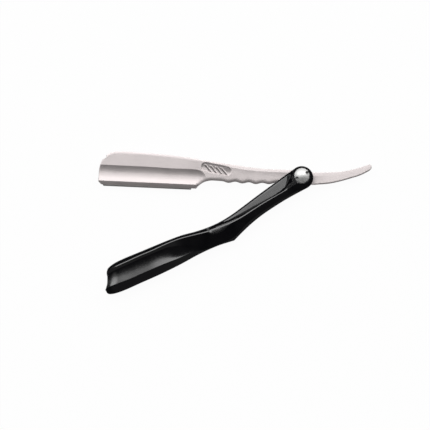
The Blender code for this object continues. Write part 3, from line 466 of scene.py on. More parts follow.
def turned(name, profile):
    """A turned mesh from (radius, height) points, capped at both ends."""
    turns = [2 * pi * step / ROUND_SIDES for step in range(ROUND_SIDES)]
    points = [(r * cos(t), r * sin(t), h) for r, h in profile for t in turns]
    last = (len(profile) - 1) * ROUND_SIDES
    faces = [tuple(range(ROUND_SIDES)), tuple(range(last, last + ROUND_SIDES))]
    for near in range(0, last, ROUND_SIDES):
        far = near + ROUND_SIDES
        for step in range(ROUND_SIDES):
            after = (step + 1) % ROUND_SIDES
            faces.append((near + step, near + after, far + after, far + step))
    return mesh_of(name, points, faces)


def new_object(name, data):
    made = bpy.data.objects.new(name, data)
    bpy.context.scene.collection.objects.link(made)
    return made


def placed(mesh, angle, place=(0.0, 0.0)):
    """An object named after its mesh, which is turned and moved into the CAD model's frame."""
    turn = Matrix.Rotation(angle, 4, "Z")
    mesh.transform(Matrix.Translation(PIVOT) @ turn @ Matrix.Translation((*place, 0.0)))
    return new_object(mesh.name, mesh)


def local_points(items, name, angle):
    """Places of vertices or faces, seen from the handle's or the holder's frame."""
    values = np.empty(len(items) * 3)
    items.foreach_get(name, values)
    turn = np.array(Matrix.Rotation(angle, 3, "Z"))
    return ((values.reshape(-1, 3) - np.array(PIVOT)) @ turn).T


def smooth(piece, sharp, angle=0.0, lines_at=lambda x: ()):
    """Smooth shading but for steep edges and the edges that run along the given lines."""
    mesh = piece.data
    mesh.shade_smooth()
    mesh.set_sharp_from_angle(angle=radians(sharp))
    x, y, _ = local_points(mesh.vertices, "co", angle)
    for line in lines_at(x):
        on_line = (np.abs(y - line) < SQUEEZE / 8).tolist()
        for edge in mesh.edges:
            first, second = edge.vertices
            if on_line[first] and on_line[second]:
                edge.use_edge_sharp = True


def mark(mesh, name, domain, values):
    """An attribute of points or faces that a material reads."""
    attribute = mesh.attributes.new(name, "FLOAT", domain)
    attribute.data.foreach_set("value", values.astype(np.float32))


def carve(piece, cutters):
    """Cuts turned shapes out of a piece and drops the cutters."""
    for cutter in cutters:
        modifier = piece.modifiers.new(cutter.name, "BOOLEAN")
        modifier.solver = "EXACT"
        modifier.object = cutter
    graph = bpy.context.evaluated_depsgraph_get()
    mesh = bpy.data.meshes.new_from_object(piece.evaluated_get(graph))
    piece.modifiers.clear()
    piece.data = mesh
    for cutter in cutters:
        bpy.data.objects.remove(cutter, do_unlink=True)


# Handle scales

upper_line = curve(UPPER_SHARES)
lower_toe_line = curve(LOWER_TOE_SHARES)
lower_neck_line = curve(LOWER_NECK_SHARES)
toe_line = curve(swapped(TOE_END_SHARES), HANDLE_WIDTH, HANDLE_REACH)
bevel_line = curve(BEVEL_SHARES)
bevel_width = curve(BEVEL_WIDTH_SHARES, width=BEVEL_WIDTH)
foot_rise_line = curve(FOOT_RISE_SHARES)
panel_line = curve(PANEL_SHARES)
ridge_line = curve(RIDGE_SHARES)
crease_line = curve(CREASE_SHARES, HANDLE_WIDTH, HANDLE_REACH)
scoop_middle = curve(SCOOP_MIDDLE_SHARES, width=1.0)
scoop_power = curve(SCOOP_POWERS, width=1.0)
scoop_lean = curve(SCOOP_LEANS, width=1.0)


def along(share):
    """The place along the handle that a share of its reach gives."""
    return -share * HANDLE_REACH


def edges(x):
    """The upper and the lower edge of a scale, which end in a round past its centre."""
    half = np.sqrt(np.clip(END_RADIUS**2 - (x - END_CENTRE_X) ** 2, 0.0, None))
    lower = np.where(x < along(LOWER_NECK_SHARES[0][0]), lower_toe_line(-x), lower_neck_line(-x))
    past = x > END_CENTRE_X
    return np.where(past, END_CENTRE_Y + half, upper_line(-x)), np.where(past, END_CENTRE_Y - half, lower)


def in_panel(x):
    return (x > along(PANEL_SHARES[0][0])) & (x < along(PANEL_SHARES[-1][0]))


def in_scoop(x, y):
    """0 on the pivot's side of the slanted crease, 1 well inside the scoop."""
    inside = np.clip((-crease_line(y) - x) / CREASE_RUN, 0.0, 1.0)
    return 1 - (1 - inside) ** 2


def scale_keys(x):
    """Key lines across a scale, from the upper edge down."""
    upper, lower = edges(x)
    margin = upper - PANEL_MARGIN
    panel_low = np.where(in_panel(x), np.minimum(panel_line(-x), margin - SQUEEZE), margin - SQUEEZE)
    crest = bevel_line(-x) - bevel_width(-x) / 2
    foot = np.minimum(crest + bevel_width(-x) + foot_rise_line(-x), margin - 3 * SQUEEZE)
    ridge = ridge_line(-x)
    over = (upper, upper - SCALE_ROUND, margin, panel_low, foot, crest)
    return descending((*over, ridge, lower + SCALE_ROUND, lower))


def scoop_depth(x, share, width):
    """Depth at a share of the way from the crest down to the ridge, which lie a width apart."""
    middle, power = scoop_middle(-x), scoop_power(-x)
    near_crest = np.clip(share / middle, 0.0, 1.0)
    near_ridge = np.clip((share - middle) / (1 - middle), 0.0, 1.0)
    rise = near_ridge - (1 - (1 - near_ridge) ** (power + 1)) / (power + 1)
    profile = 1 - (1 - near_crest) ** SCOOP_WALL_POWER - rise * (power + 1) / power
    lean = np.tan(np.radians(scoop_lean(-x)))
    return lean * width * (1 - middle) * power / (power + 1) * profile


def scale_height(x, y, toe_gap):
    """Height of a scale's outer face over the channel wall."""
    full = SCALE_THICKNESS
    upper, _, margin, panel_low, foot, crest, ridge, _, lower = scale_keys(x)
    off_toe = ease(toe_gap, TOE_FADE_START, TOE_FADE_END)
    panel_share = fade(x, (PANEL_SHARES[0][0], PANEL_SHARES[1][0]))
    wedge_size = 1 - fade(x, WEDGE_SHARES[2:])
    wedge = fade(x, WEDGE_SHARES[:2]) * wedge_size
    in_boss = fade(x, BOSS_SHARES)
    scoop_gone = fade(x, SCOOP_FADE_SHARES)

    crest_height = full - LEDGE_DROP * (1 - off_toe) - WEDGE_DIP * wedge
    lean = mix(BEVEL_LEAN, RAMP_LEAN, fade(x, RAMP_SHARES[:2]))
    bevel_drop = lean * (foot - crest) * (1 - fade(x, RAMP_SHARES[2:]))
    foot_height = crest_height - bevel_drop * off_toe

    # Panel, which leans toward the upper edge, and the strip over it
    lean = mix(PANEL_TIP_LEAN, PANEL_LEAN, fade(x, PANEL_LEAN_SHARES))
    ledge = full - LEDGE_DROP - WEDGE_DIP * wedge
    top = full - PANEL_DROP

    def plane(line, limit, step=0.0):
        leaning = top - (line - PANEL_BASE_SHARE * HANDLE_WIDTH) * lean - step
        return np.where(panel_share > 0, np.minimum(leaning, limit), ledge)

    strip = mix(plane(margin, ledge, PANEL_STEP), full, fade(x, STRIP_RISE_SHARES))
    right_of_panel = x > along(PANEL_SHARES[-1][0])
    panel = np.where(right_of_panel, strip, plane(y, top))
    panel_edge = np.where(right_of_panel, strip, plane(panel_low, top))

    # Groove between the panel and the bevel, which becomes the wall of the boss
    share = share_down(y, panel_low, foot)
    start, middle, end = GROOVE_SHARES
    flat = ease(share, 0.0, start) * (1 - ease(share, end, 1.0))
    groove = mix(panel_edge, foot_height, ease(share, 0.0, middle))
    floor = np.minimum(groove, crest_height - LEDGE_DROP)
    groove = mix(groove, floor, flat * (1 - in_boss))

    # Bevel or cone, then the scoop toward the toe and a plain facet toward the pivot
    bevel = mix(foot_height, crest_height, share_down(y, foot, crest))
    share = share_down(y, crest, ridge)
    depth = scoop_depth(x, share, np.maximum(crest - ridge, SQUEEZE)) + RIDGE_DROP * share
    depth = depth + CREASE_DEPTH * share * (1 - SCOOP_LEAN_SHARE * share) * scoop_gone
    in_wedge = np.clip(share / np.maximum(WEDGE_WIDTH_SHARE * wedge_size, SQUEEZE), 0.0, 1.0)
    raised = WEDGE_DIP * wedge * in_wedge * (1 + WEDGE_ROUND_SHARE * (1 - in_wedge))
    neck_drop = NECK_DROP * (1 - in_boss)
    face = crest_height + raised - mix(neck_drop * share, depth, in_scoop(x, y))

    # Lower facet
    ridge_depth = CREASE_DEPTH * (1 - SCOOP_LEAN_SHARE) * scoop_gone + RIDGE_DROP
    ridge_drop = mix(neck_drop, ridge_depth, in_scoop(x, ridge))
    ridge_height = full - LEDGE_DROP * (1 - off_toe) - ridge_drop
    rim = np.minimum(mix(full - LOWER_DROP, full, in_boss), ridge_height)
    lower_face = mix(ridge_height, rim, share_down(y, ridge, lower))

    height = strip
    for line, under in (
        (margin, panel), (panel_low, groove), (foot, bevel), (crest, face), (ridge, lower_face)
    ):
        height = np.where(y < line, under, height)
    round_end = END_RADIUS - np.hypot(x - END_CENTRE_X, y - END_CENTRE_Y)
    edge = np.where(x > END_CENTRE_X, round_end, np.minimum(upper - y, y - lower))
    return height - round_drop(np.minimum(edge, toe_gap), SCALE_ROUND)


SCALE_ROW_COUNTS = (5, 3, 12, 6, 4, 34, 8, 5)
SCALE_ROWS = row_places(SCALE_ROW_COUNTS, {0: "start", 7: "end"})
SCALE_COLUMNS = (130, 60, 70, 129)
END_COLUMNS = 44


def scale_grid():
    """Places of the grid on a scale's face, from the toe to the round end."""
    toe = along(UPPER_SHARES[0][0])
    corner = along(LOWER_NECK_SHARES[0][0])
    crease = along(CREASE_SHARES[-1][1])
    boss = along(BOSS_GRID_SHARE)
    near = np.linspace(0.0, 1.0, 9)[:-1] ** 2 * SCALE_ROUND * 4
    stops = (toe + SCALE_ROUND * 4, crease, corner, boss, END_CENTRE_X)
    stations = np.concatenate([toe + near, *columns(stops, SCALE_COLUMNS), [END_CENTRE_X]])
    near_toe = 1 - ease(stations, toe, toe + TOE_ZONE)
    first = lines_between(scale_keys(np.full((1, len(SCALE_ROWS)), toe)), SCALE_ROWS)[0]
    shift = -toe_line(np.minimum(first, TOE_END_SHARES[0][1] * HANDLE_WIDTH)) - toe
    x = stations[:, None] + shift[None, :] * near_toe[:, None]
    y = lines_between(scale_keys(x), SCALE_ROWS)
    toe_gap = x - x[0][None, :]

    # The round end, with columns that crowd toward its tip
    turn = np.linspace(0.0, END_TURN, END_COLUMNS)[1:]
    round_x = (END_CENTRE_X + END_RADIUS * np.sin(turn))[:, None] + np.zeros((1, len(SCALE_ROWS)))
    round_y = lines_between(scale_keys(round_x), SCALE_ROWS)
    far = np.full(round_x.shape, HANDLE_REACH)
    return [np.concatenate(pair) for pair in ((x, round_x), (y, round_y), (toe_gap, far))]


def stepped(inner, outer, start, seat, end):
    """Profile of a bore with a wider seat."""
    return (inner, start), (inner, seat), (outer, seat), (outer, end)


def cutter_of(profile, angle, side=1, place=(0.0, 0.0)):
    """A turned cutter, from the front for side 1 and from behind for side -1."""
    profile = [(radius, side * height) for radius, height in profile]
    return placed(turned("cutter", profile), angle, place)


def make_scale(side):
    """A scale with its finished face; side is 1 in front and -1 behind."""
    x, y, toe_gap = scale_grid()
    name = "front_scale_shell" if side > 0 else "back_scale_shell"
    height = side * (WALL + scale_height(x, y, toe_gap))
    piece = placed(shell(name, x, y, height, np.full(x.shape, side * WALL)), HANDLE_ANGLE)
    radii = (PIVOT_RADIUS, PIVOT_HEAD_RADIUS) if side > 0 else (NUT_BARREL_RADIUS, NUT_HEAD_RADIUS)
    nut_depth = NUT_HEAD_THICKNESS - NUT_PROUD + SPRING_THICKNESS + 2 * FACE_GAP
    floor = FACE - (PIVOT_SEAT_DEPTH if side > 0 else nut_depth)
    start = WALL - OVERRUN
    seat = stepped(radii[0] + FIT_GAP, radii[1] + DIMPLE_GAP, start, floor, FACE - DIMPLE_GAP)
    flare = (radii[1] + SCREW_FLARE, FACE + DIMPLE_GAP)
    cutters = [cutter_of((*seat, flare), HANDLE_ANGLE, side)]
    inner, outer = SCREW_RADIUS + FIT_GAP, SCREW_HEAD_RADIUS + DIMPLE_GAP
    way = stepped(inner, outer, start, WALL + SCREW_SEAT, FACE + OVERRUN)
    for share, rise in SCREW_PLACE_SHARES if side < 0 else ():
        cutters.append(cutter_of(way, HANDLE_ANGLE, side, (along(share), rise * HANDLE_WIDTH)))
    carve(piece, cutters)
    smooth(piece, STEEP, HANDLE_ANGLE, lambda x: scale_keys(x)[2:7])
    x, y, z = local_points(piece.data.polygons, "center", HANDLE_ANGLE)
    keys = scale_keys(x)
    outside = np.abs(z) > WALL + SQUEEZE
    panel = (y < keys[2]) & (y > keys[3]) & in_panel(x) & outside
    mark(piece.data, "satin", "FACE", panel)
    near_boss = (x > along(DULL_SHARES[0])) & (x < along(DULL_SHARES[1]))
    mark(piece.data, "dull", "FACE", (y > keys[4]) & near_boss & ~panel & outside)
    return piece


# Blade holder

HEAD = (HOLDER_REACH, HEAD_HEIGHT)
spine_line = curve(SPINE_SHARES, *HEAD)
underside_line = curve(UNDERSIDE_SHARES, *HEAD)
nose_line = curve(swapped(NOSE_SHARES), HEAD_HEIGHT, HOLDER_REACH)
hollow_line = curve(HOLLOW_TOP_SHARES, *HEAD)
neck_crease_line = curve(CREASE_LINE_SHARES, *HEAD)
tail_top_line = curve(TAIL_TOP_SHARES, TAIL_LENGTH, HEAD_HEIGHT)
tail_low_line = curve(TAIL_LOW_SHARES, TAIL_LENGTH, HEAD_HEIGHT)
tail_tip_line = curve(swapped(TAIL_TIP_SHARES), HEAD_HEIGHT, TAIL_LENGTH)
LIP_LINE = UNDERSIDE_SHARES[0][1] * HEAD_HEIGHT
RECESS_X = -RECESS_PLACE_SHARES[0] * HOLDER_REACH
RECESS_Y = RECESS_PLACE_SHARES[1] * HEAD_HEIGHT
JAW_TOP = LIP_LINE + JAW_HEIGHT
JAW_END = -HOLDER_REACH + JAW_LENGTH
SLOT_TOP = LIP_LINE - BLADE_EXPOSED + BLADE_WIDTH + SLOT_END_GAP
SLOT_END = JAW_END - BLADE_END_COVER + SLOT_END_GAP


def spine(x):
    return np.where(x > 0, tail_top_line(x), spine_line(-x))


def underside(x):
    """The lower edge: corner at the nose, jaws, neck with its finger waves, tail."""
    corner = -JAW_CORNER_SHARE * HOLDER_REACH
    nose = NOSE_SHARES[0]
    share = np.clip((x - corner) / (-nose[0] * HOLDER_REACH - corner), 0.0, 1.0)
    jaws = mix(LIP_LINE, nose[1] * HEAD_HEIGHT, share)
    place_in = (x + FIRST_WAVE_SHARE * HOLDER_REACH) / WAVE_PITCH
    waving = (place_in >= -0.5) & (place_in <= WAVES - 0.5)
    waves = np.where(waving, WAVE_DEPTH * (1 + np.cos(2 * pi * place_in)) / 2, 0.0)
    neck = underside_line(-x) - waves
    straight = np.where(x < -HEEL_SHARE * HOLDER_REACH, jaws, neck)
    return np.where(x > 0, tail_low_line(x), straight)


def cheek(x):
    """Half thickness of the flat cheek."""
    start, end = -HEEL_SHARE * HOLDER_REACH, -TANG_SHARE * HOLDER_REACH
    half = mix(HEAD_THICKNESS / 2, TANG_THICKNESS / 2, np.clip((x - start) / (end - start), 0.0, 1.0))
    return mix(half, TAIL_TIP_THICKNESS / 2, ease(x, WASHER_RADIUS, TAIL_LENGTH))


def holder_keys(x):
    """Key lines across the holder, from the spine down."""
    top, bottom = spine(x), underside(x)
    neck = fade(x, NECK_SHARES, HOLDER_REACH)
    tail = ease(x, 0.0, WASHER_RADIUS)
    past_heel = fade(x, HEEL_FADE_SHARES, HOLDER_REACH)
    crease = mix(neck_crease_line(-x), mix(top, bottom, TAIL_CREASE_SHARE), tail)
    crease = mix(top - SPINE_BEVEL, crease, neck)
    slope = (underside(x + HOLDER_ROUND) - underside(x - HOLDER_ROUND)) / (2 * HOLDER_ROUND)
    chamfer = mix(NECK_CHAMFER, TAIL_CHAMFER, tail)
    edge = bottom + mix(HOLDER_ROUND, chamfer * np.hypot(1.0, slope), past_heel)

    # The rows of the jaw's seam and the hollow close in on the recess in the neck
    in_neck = fade(x, HOLLOW_END_SHARES, HOLDER_REACH)
    across = x - RECESS_X
    middle = RECESS_Y + across * tan(RECESS_TILT)
    past_recess = ease(across, RECESS_LENGTH / 2, RECESS_LENGTH)
    reach = RECESS_WIDTH / 2 + RECESS_WALL / 4
    upper, lower, lowest = (mix(crease, edge, share) for share in NECK_ROW_SHARES)
    recess_top = np.minimum(mix(middle + reach, upper, past_recess), crease - SQUEEZE)
    recess_bottom = np.maximum(mix(middle - reach, lower, past_recess), lowest)
    past_jaw = ease(x, JAW_END, JAW_END + NOSE_ZONE / 2)
    seam = mix(np.full(x.shape, JAW_TOP), recess_top, past_jaw)
    hollow = mix(hollow_line(-x), recess_bottom, in_neck)
    low_bevel = np.maximum(BEVEL_LINE_SHARE * HEAD_HEIGHT, mix(edge, hollow, BEVEL_LIMIT_SHARE))
    past_slot = ease(x, SLOT_END, JAW_END)
    slot = mix(np.full(x.shape, SLOT_TOP), mix(hollow, low_bevel, 0.5), past_slot)
    return descending((top, top - HOLDER_ROUND, crease, seam, hollow, slot, low_bevel, edge, bottom))


def recess(x, y):
    """Depth of the recess with its slanted ribs at places on the cheek, and the painted shade on its
    walls, upper floor and ribs.
    """
    across = x - RECESS_X
    up = y - RECESS_Y
    run = across * cos(RECESS_TILT) + up * sin(RECESS_TILT)
    rise = up * cos(RECESS_TILT) - across * sin(RECESS_TILT)
    half = RECESS_WIDTH / 2
    straight = RECESS_LENGTH / 2 - half
    inside = half - np.hypot(np.maximum(np.abs(run) - straight, 0.0), rise)
    wall = mix(RECESS_LOW_WALL, RECESS_WALL, ease(rise, -half, 0.0))
    down = ease(inside / wall, 0.0, 1.0)
    up = rise - RIB_MIDDLE
    span = RIB_WIDTH / 3
    length = 1 - ease(np.abs(up), RIB_REACH - span, RIB_REACH + span)
    ribs = np.zeros(x.shape)
    for number in range(RIBS):
        middle = (number - (RIBS - 1) / 2) * RIB_PITCH
        gap = np.abs((run - middle + up * tan(RIB_SLANT)) * cos(RIB_SLANT))
        ribs = ribs + (1 - ease(gap, RIB_WIDTH / 8, RIB_WIDTH * 0.8)) * length
    rise = rise / half
    floor = RECESS_DEPTH * mix(1.0, RECESS_HEAD_SHARE, ease(rise, *RECESS_FLOOR_SHARES))
    # Painted shade: a dark ring along the recess walls, the upper floor under them and the ribs are drawn
    # darker where shadow falls
    rim = 4 * down * (1 - down) * ease(rise, *RECESS_RIM_SHARES)
    shade = RECESS_SHADE * np.maximum(down * ease(rise, *RECESS_SHADE_SHARES), rim)
    return floor * down - RIB_HEIGHT * ribs, np.maximum(shade, ribs)


def hollow_profile(share):
    """Height of the hollow grind for a width of 1, from its top line down to the low bevel."""
    middle, straight = HOLLOW_MIDDLE_SHARE, HOLLOW_STRAIGHT_SHARE
    first = np.clip(share, 0.0, middle)
    second = np.clip(share - middle, 0.0, straight - middle)
    third = np.clip(share - straight, 0.0, None)
    risen = second**2 / (2 * (straight - middle)) + third
    return HOLLOW_LOW_LEAN * risen - HOLLOW_TOP_LEAN * (first - first**2 / (2 * middle))


def holder_half(x, y, nose_gap, tip_gap):
    """Half thickness of the holder at places on its cheek."""
    top, _, crease, _, _, _, _, edge, bottom = holder_keys(x)
    neck = fade(x, NECK_SHARES, HOLDER_REACH)
    tail = ease(x, 0.0, 4 * WASHER_RADIUS)
    past_heel = fade(x, HEEL_FADE_SHARES, HOLDER_REACH)

    # Bevel along the spine
    bevel_drop = mix(SPINE_BEVEL_DROP, (top - crease) * NECK_BEVEL_LEAN, neck)
    share = 1 - share_down(y, top, crease)
    height = cheek(x) - bevel_drop * mix(1.0, TAIL_BEVEL_SHARE, tail) * share ** mix(2.0, 1.0, neck)
    under = np.clip((crease - y) / NECK_LEAN_WIDTH, 0.0, 1.0)
    height = height - NECK_LEAN * NECK_LEAN_WIDTH * under * (1 - under / 2) * neck * (1 - tail)
    height = height - (y - (top + bottom) / 2) * TAIL_LEAN * tail

    # Hollow grind, and the bevel down to the lip
    hollow = hollow_line(-x)
    low_line = BEVEL_LINE_SHARE * HEAD_HEIGHT
    span = np.maximum(hollow - low_line, SQUEEZE)
    grind = span * hollow_profile(share_down(y, hollow, low_line))
    full_span = HOLLOW_TOP_SHARES[0][1] * HEAD_HEIGHT - low_line
    bevel_height = HEAD_THICKNESS / 2 + full_span * hollow_profile(1.0) - LIP_THICKNESS / 2 - HOLDER_ROUND
    past = np.clip((low_line - y) / (low_line - LIP_LINE), 0.0, None)
    low_drop = bevel_height * past * mix(BEVEL_TOP_LEAN_SHARE, 1.0, past)
    height = height + (grind - low_drop) * (1 - fade(x, HOLLOW_END_SHARES, HOLDER_REACH))

    chamfer = mix(HOLDER_ROUND / 2, mix(NECK_CHAMFER_DROP, TAIL_CHAMFER_DROP, tail), past_heel)
    power = mix(1.0, mix(NECK_CHAMFER_POWER, TAIL_CHAMFER_POWER, tail), past_heel)
    height = height - chamfer * share_down(y, edge, bottom) ** power - recess(x, y)[0]
    height = height - round_drop(top - y, HOLDER_ROUND)
    for gap in (nose_gap, tip_gap):
        height = height - NOSE_CHAMFER_DROP * np.clip(1 - gap / NOSE_CHAMFER, 0.0, 1.0)
    return np.maximum(height, LIP_THICKNESS / 2)


HOLDER_ROW_COUNTS = (3, 7, 6, 40, 6, 14, 7, 8)
HOLDER_ROWS = row_places(HOLDER_ROW_COUNTS, {0: "start"})
HOLDER_COLUMNS = (80, 18, 110, 110, 20, 64)
SEAM_ROW = sum(HOLDER_ROW_COUNTS[:3])
SLOT_ROW = sum(HOLDER_ROW_COUNTS[:5])


def holder_grid():
    """Places of the grid on the holder's cheek, from the nose to the tip of the tail."""
    nose = -SPINE_SHARES[0][0] * HOLDER_REACH
    recess_end = RECESS_X + RECESS_LENGTH / 2
    wave_end = WAVES * WAVE_PITCH - FIRST_WAVE_SHARE * HOLDER_REACH
    tail = TAIL_TOP_SHARES[-1][0] * TAIL_LENGTH
    near = np.array((0.0, 0.5, 1.0, 1.5, 2.5, 4.0)) * NOSE_CHAMFER
    last = tail - 4 * NOSE_CHAMFER
    stops = (nose + 6 * NOSE_CHAMFER, SLOT_END, JAW_END, recess_end, wave_end, 0.0, last)
    stations = np.concatenate([nose + near, *columns(stops, HOLDER_COLUMNS), tail - near[::-1]])
    near_nose = 1 - ease(stations, nose, nose + NOSE_ZONE)
    near_tip = ease(stations, tail * TIP_START_SHARE, tail)
    count = len(HOLDER_ROWS)
    first, last = (
        lines_between(holder_keys(np.full((1, count), place)), HOLDER_ROWS)[0] for place in (nose, tail)
    )
    corner = NOSE_SHARES[0][1] * HEAD_HEIGHT + np.arange(count)[::-1] * NOSE_ROW_GAP
    first = np.maximum(first, corner)
    x = stations[:, None]
    x = x + (-nose_line(first) - nose)[None, :] * near_nose[:, None]
    x = x + (tail_tip_line(last) - tail)[None, :] * near_tip[:, None]
    y = lines_between(holder_keys(x), HOLDER_ROWS)
    jaw_column = int(np.argmin(np.abs(stations - JAW_END)))
    slot_column = int(np.argmin(np.abs(stations - SLOT_END)))
    return x, y, x - x[:1], x[-1:] - x, jaw_column, slot_column


def make_holder():
    """The holder's body and the jaw that clamps the blade against it."""
    x, y, nose_gap, tip_gap, jaw_column, slot_column = holder_grid()
    half = holder_half(x, y, nose_gap, tip_gap)
    split = BLADE_THICKNESS / 2 + SLOT_SIDE_GAP
    floors = (-half, np.full(x.shape, -split), np.full(x.shape, split))
    levels = np.zeros_like(x[1:, 1:], dtype=int)
    levels[:jaw_column, SEAM_ROW:] = 1
    levels[:slot_column, SLOT_ROW:] = 2
    mesh = terraced("blade_holder_body", x, y, half, floors, levels)
    body = placed(mesh, HOLDER_ANGLE)
    jaw_x, jaw_y, jaw_half = (grid[:jaw_column + 1, SEAM_ROW:].copy() for grid in (x, y, half))
    jaw_y[:, 0] -= JAW_GAP
    jaw_x[-1, :] -= JAW_GAP
    jaw_half[:, 0] -= JAW_EDGE
    jaw_half[-1, :] -= JAW_EDGE
    jaw_inner = np.full(jaw_x.shape, -split - JAW_GAP)
    plate = shell("clamp_jaw_plate", jaw_x, jaw_y, -jaw_half, jaw_inner)
    return body, placed(plate, HOLDER_ANGLE)


def cut_holder(body, jaw):
    """The bush's bore and the ways of the jaw screws."""
    radius = BUSH_RADIUS + FIT_GAP
    bore = ((radius, -TANG_THICKNESS), (radius, TANG_THICKNESS))
    carve(body, [cutter_of(bore, HOLDER_ANGLE)])
    back = HEAD_THICKNESS / 2
    inner, outer = JAW_SCREW_RADIUS + FIT_GAP, JAW_SCREW_HEAD_RADIUS + FIT_GAP
    way = stepped(inner, outer, -OVERRUN, back - JAW_SCREW_HEAD_THICKNESS, back + OVERRUN)
    line = LIP_LINE + JAW_HEIGHT * JAW_SCREW_LINE_SHARE
    places = [(-HOLDER_REACH + share * JAW_LENGTH, line) for share in JAW_SCREW_SHARES]
    carve(jaw, [cutter_of(way, HOLDER_ANGLE, -1, place) for place in places])
    for piece in (body, jaw):
        smooth(piece, STEEP, HOLDER_ANGLE, lambda x: (*holder_keys(x)[6:8], hollow_line(-x)))
    x, y, _ = local_points(body.data.vertices, "co", HOLDER_ANGLE)
    # Painted shade in the recess, which the holder's material draws darker
    mark(body.data, "shade", "POINT", recess(x, y)[1])


# Pivot screw

def make_pivot_screw():
    """The domed head with its two spanner holes, on a turned shank."""
    radius = PIVOT_HEAD_RADIUS
    seat = FACE - PIVOT_SEAT_DEPTH + FACE_GAP
    rim = seat + PIVOT_HEAD_RIM
    rise = PIVOT_HEAD_RISE - FACE_GAP
    shoulder = SHOULDER_RISE - WALL
    edge = SCALE_ROUND / 2
    profile = [
        (THREAD_RADIUS, NUT_HEAD_THICKNESS - NUT_PROUD - FACE + FACE_GAP), (THREAD_RADIUS, shoulder),
        (PIVOT_RADIUS, shoulder), (PIVOT_RADIUS, seat),
        (radius - edge, seat), (radius, seat + edge), (radius, rim),
    ]
    sphere = (radius**2 + rise**2) / (2 * rise)
    half_turn = asin(radius / sphere)
    for step in range(1, DOME_RINGS):
        turn = half_turn * (1 - step / DOME_RINGS)
        profile.append((sphere * sin(turn), rim + rise - sphere * (1 - cos(turn))))
    screw = placed(turned("pivot_screw_head", profile), HANDLE_ANGLE)
    floor = rim - NOTCH_DEPTH / 3
    notch = (
        (NOTCH_RADIUS / 8, floor - NOTCH_TIP),
        (NOTCH_RADIUS, floor),
        (NOTCH_RADIUS, rim + 2 * PIVOT_HEAD_RISE),
    )
    places = [(side * NOTCH_PLACE, 0.0) for side in (-1, 1)]
    carve(screw, [cutter_of(notch, HANDLE_ANGLE, 1, place) for place in places])
    smooth(screw, STEEP / 2)
    x, y, z = local_points(screw.data.polygons, "center", HANDLE_ANGLE)
    reach = np.hypot(np.abs(x) - NOTCH_PLACE, y)
    # Painted shade: the faces inside the spanner holes are marked so that the material draws them darker
    mark(screw.data, "hole_shade", "FACE", (reach < NOTCH_RADIUS * 1.02) & (z > seat))
    return screw


# Materials

WHITE = (1.0, 1.0, 1.0, 1.0)
# How dark the painted shade in the spanner holes of the pivot screw is
HOLE_SHADE_SHARE = 0.22
# How dark the painted shade in the holder's recess is
SHADE_SHARE = 0.32


def tinted(colour, share):
    """A colour made darker or lighter by a share, with full alpha."""
    return (*(min(channel * share, 1.0) for channel in colour), 1.0)


class Nodes:
    """A node tree with short ways to add to it; an input is a value or another node's output."""

    def __init__(self, owner):
        owner.use_nodes = True
        self.tree = owner.node_tree

    def feed(self, node, inputs):
        for key, value in inputs.items():
            if isinstance(value, bpy.types.NodeSocket):
                self.tree.links.new(value, node.inputs[key])
            else:
                node.inputs[key].default_value = value

    def add(self, kind, inputs, output=0, **settings):
        """The output of a new node of a kind."""
        node = self.tree.nodes.new("ShaderNode" + kind)
        for name, value in settings.items():
            setattr(node, name, value)
        self.feed(node, inputs)
        return node.outputs[output]

    def place(self, angle=0.0, stretch=(1.0, 1.0, 1.0)):
        """Object coordinates turned by an angle and stretched along each axis."""
        source = self.add("TexCoord", {}, "Object")
        spun = self.add("Mapping", {"Vector": source, "Rotation": (0.0, 0.0, angle)})
        return self.add("VectorMath", {0: spun, 1: stretch}, operation="MULTIPLY")

    def attribute(self, name):
        """A value that the mesh carries."""
        return self.add("Attribute", {}, "Fac", attribute_name=name)

    def noise(self, place, scale, detail=3.0, roughness=0.5):
        inputs = {"Vector": place, "Scale": scale, "Detail": detail, "Roughness": roughness}
        return self.add("TexNoise", inputs)

    def ramp(self, value, low_in, high_in, low_out, high_out, **settings):
        span = {"From Min": low_in, "From Max": high_in, "To Min": low_out, "To Max": high_out}
        return self.add("MapRange", {"Value": value, **span}, **settings)

    def math(self, operation, first, second):
        return self.add("Math", {0: first, 1: second}, operation=operation)

    def mix(self, share, under, over):
        return self.add("Mix", {"Factor": share, "A": under, "B": over}, "Result", data_type="RGBA")

    def bump(self, height, distance, strength, **under):
        return self.add("Bump", {"Height": height, "Distance": distance, "Strength": strength, **under})


class Finish(Nodes):
    """A Principled material."""

    def __init__(self, name, colour, roughness, metallic):
        self.material = bpy.data.materials.new(name)
        super().__init__(self.material)
        self.material.diffuse_color = (*colour, 1.0)
        self.shader = self.tree.nodes["Principled BSDF"]
        self.finish({"Base Color": (*colour, 1.0), "Roughness": roughness, "Metallic": metallic})

    def finish(self, inputs):
        self.feed(self.shader, inputs)
        return self.material


def plastic(name):
    """Glossy black moulded plastic with faint orange peel; marked faces are satin or dull."""
    made = Finish(name, (0.004, 0.004, 0.005), 0.14, 0.0)
    plain = made.place()
    drawn = made.place(-HANDLE_ANGLE, (0.12, 1.0, 1.0))
    satin = made.attribute("satin")
    grain = made.noise(plain, 5200.0)
    rubbed = made.noise(plain, 120.0, 4.0)
    base = made.ramp(rubbed, 0.3, 0.8, 0.11, 0.16)
    scratches = made.ramp(made.noise(drawn, 5200.0, 2.0), 0.58, 0.78, 0.0, 0.05)
    rough = made.math("MULTIPLY", satin, made.ramp(grain, 0.3, 0.7, 0.10, 0.18))
    peel = made.bump(made.noise(plain, 700.0, 2.0), 0.000006, 0.5)
    grain = made.math("MULTIPLY", grain, made.ramp(satin, 0.0, 1.0, 0.06, 1.0))
    share = made.ramp(rubbed, 0.35, 0.75, 0.0, 1.0)
    return made.finish({
        "Base Color": made.mix(share, (0.0016, 0.0016, 0.0022, 1.0), (0.0032, 0.0030, 0.0038, 1.0)),
        "Roughness": made.math("ADD", made.math("ADD", base, scratches), rough),
        "Specular IOR Level": made.ramp(made.attribute("dull"), 0.0, 1.0, 0.80, 0.12),
        "Normal": made.bump(grain, 0.000005, 0.5, Normal=peel),
    })


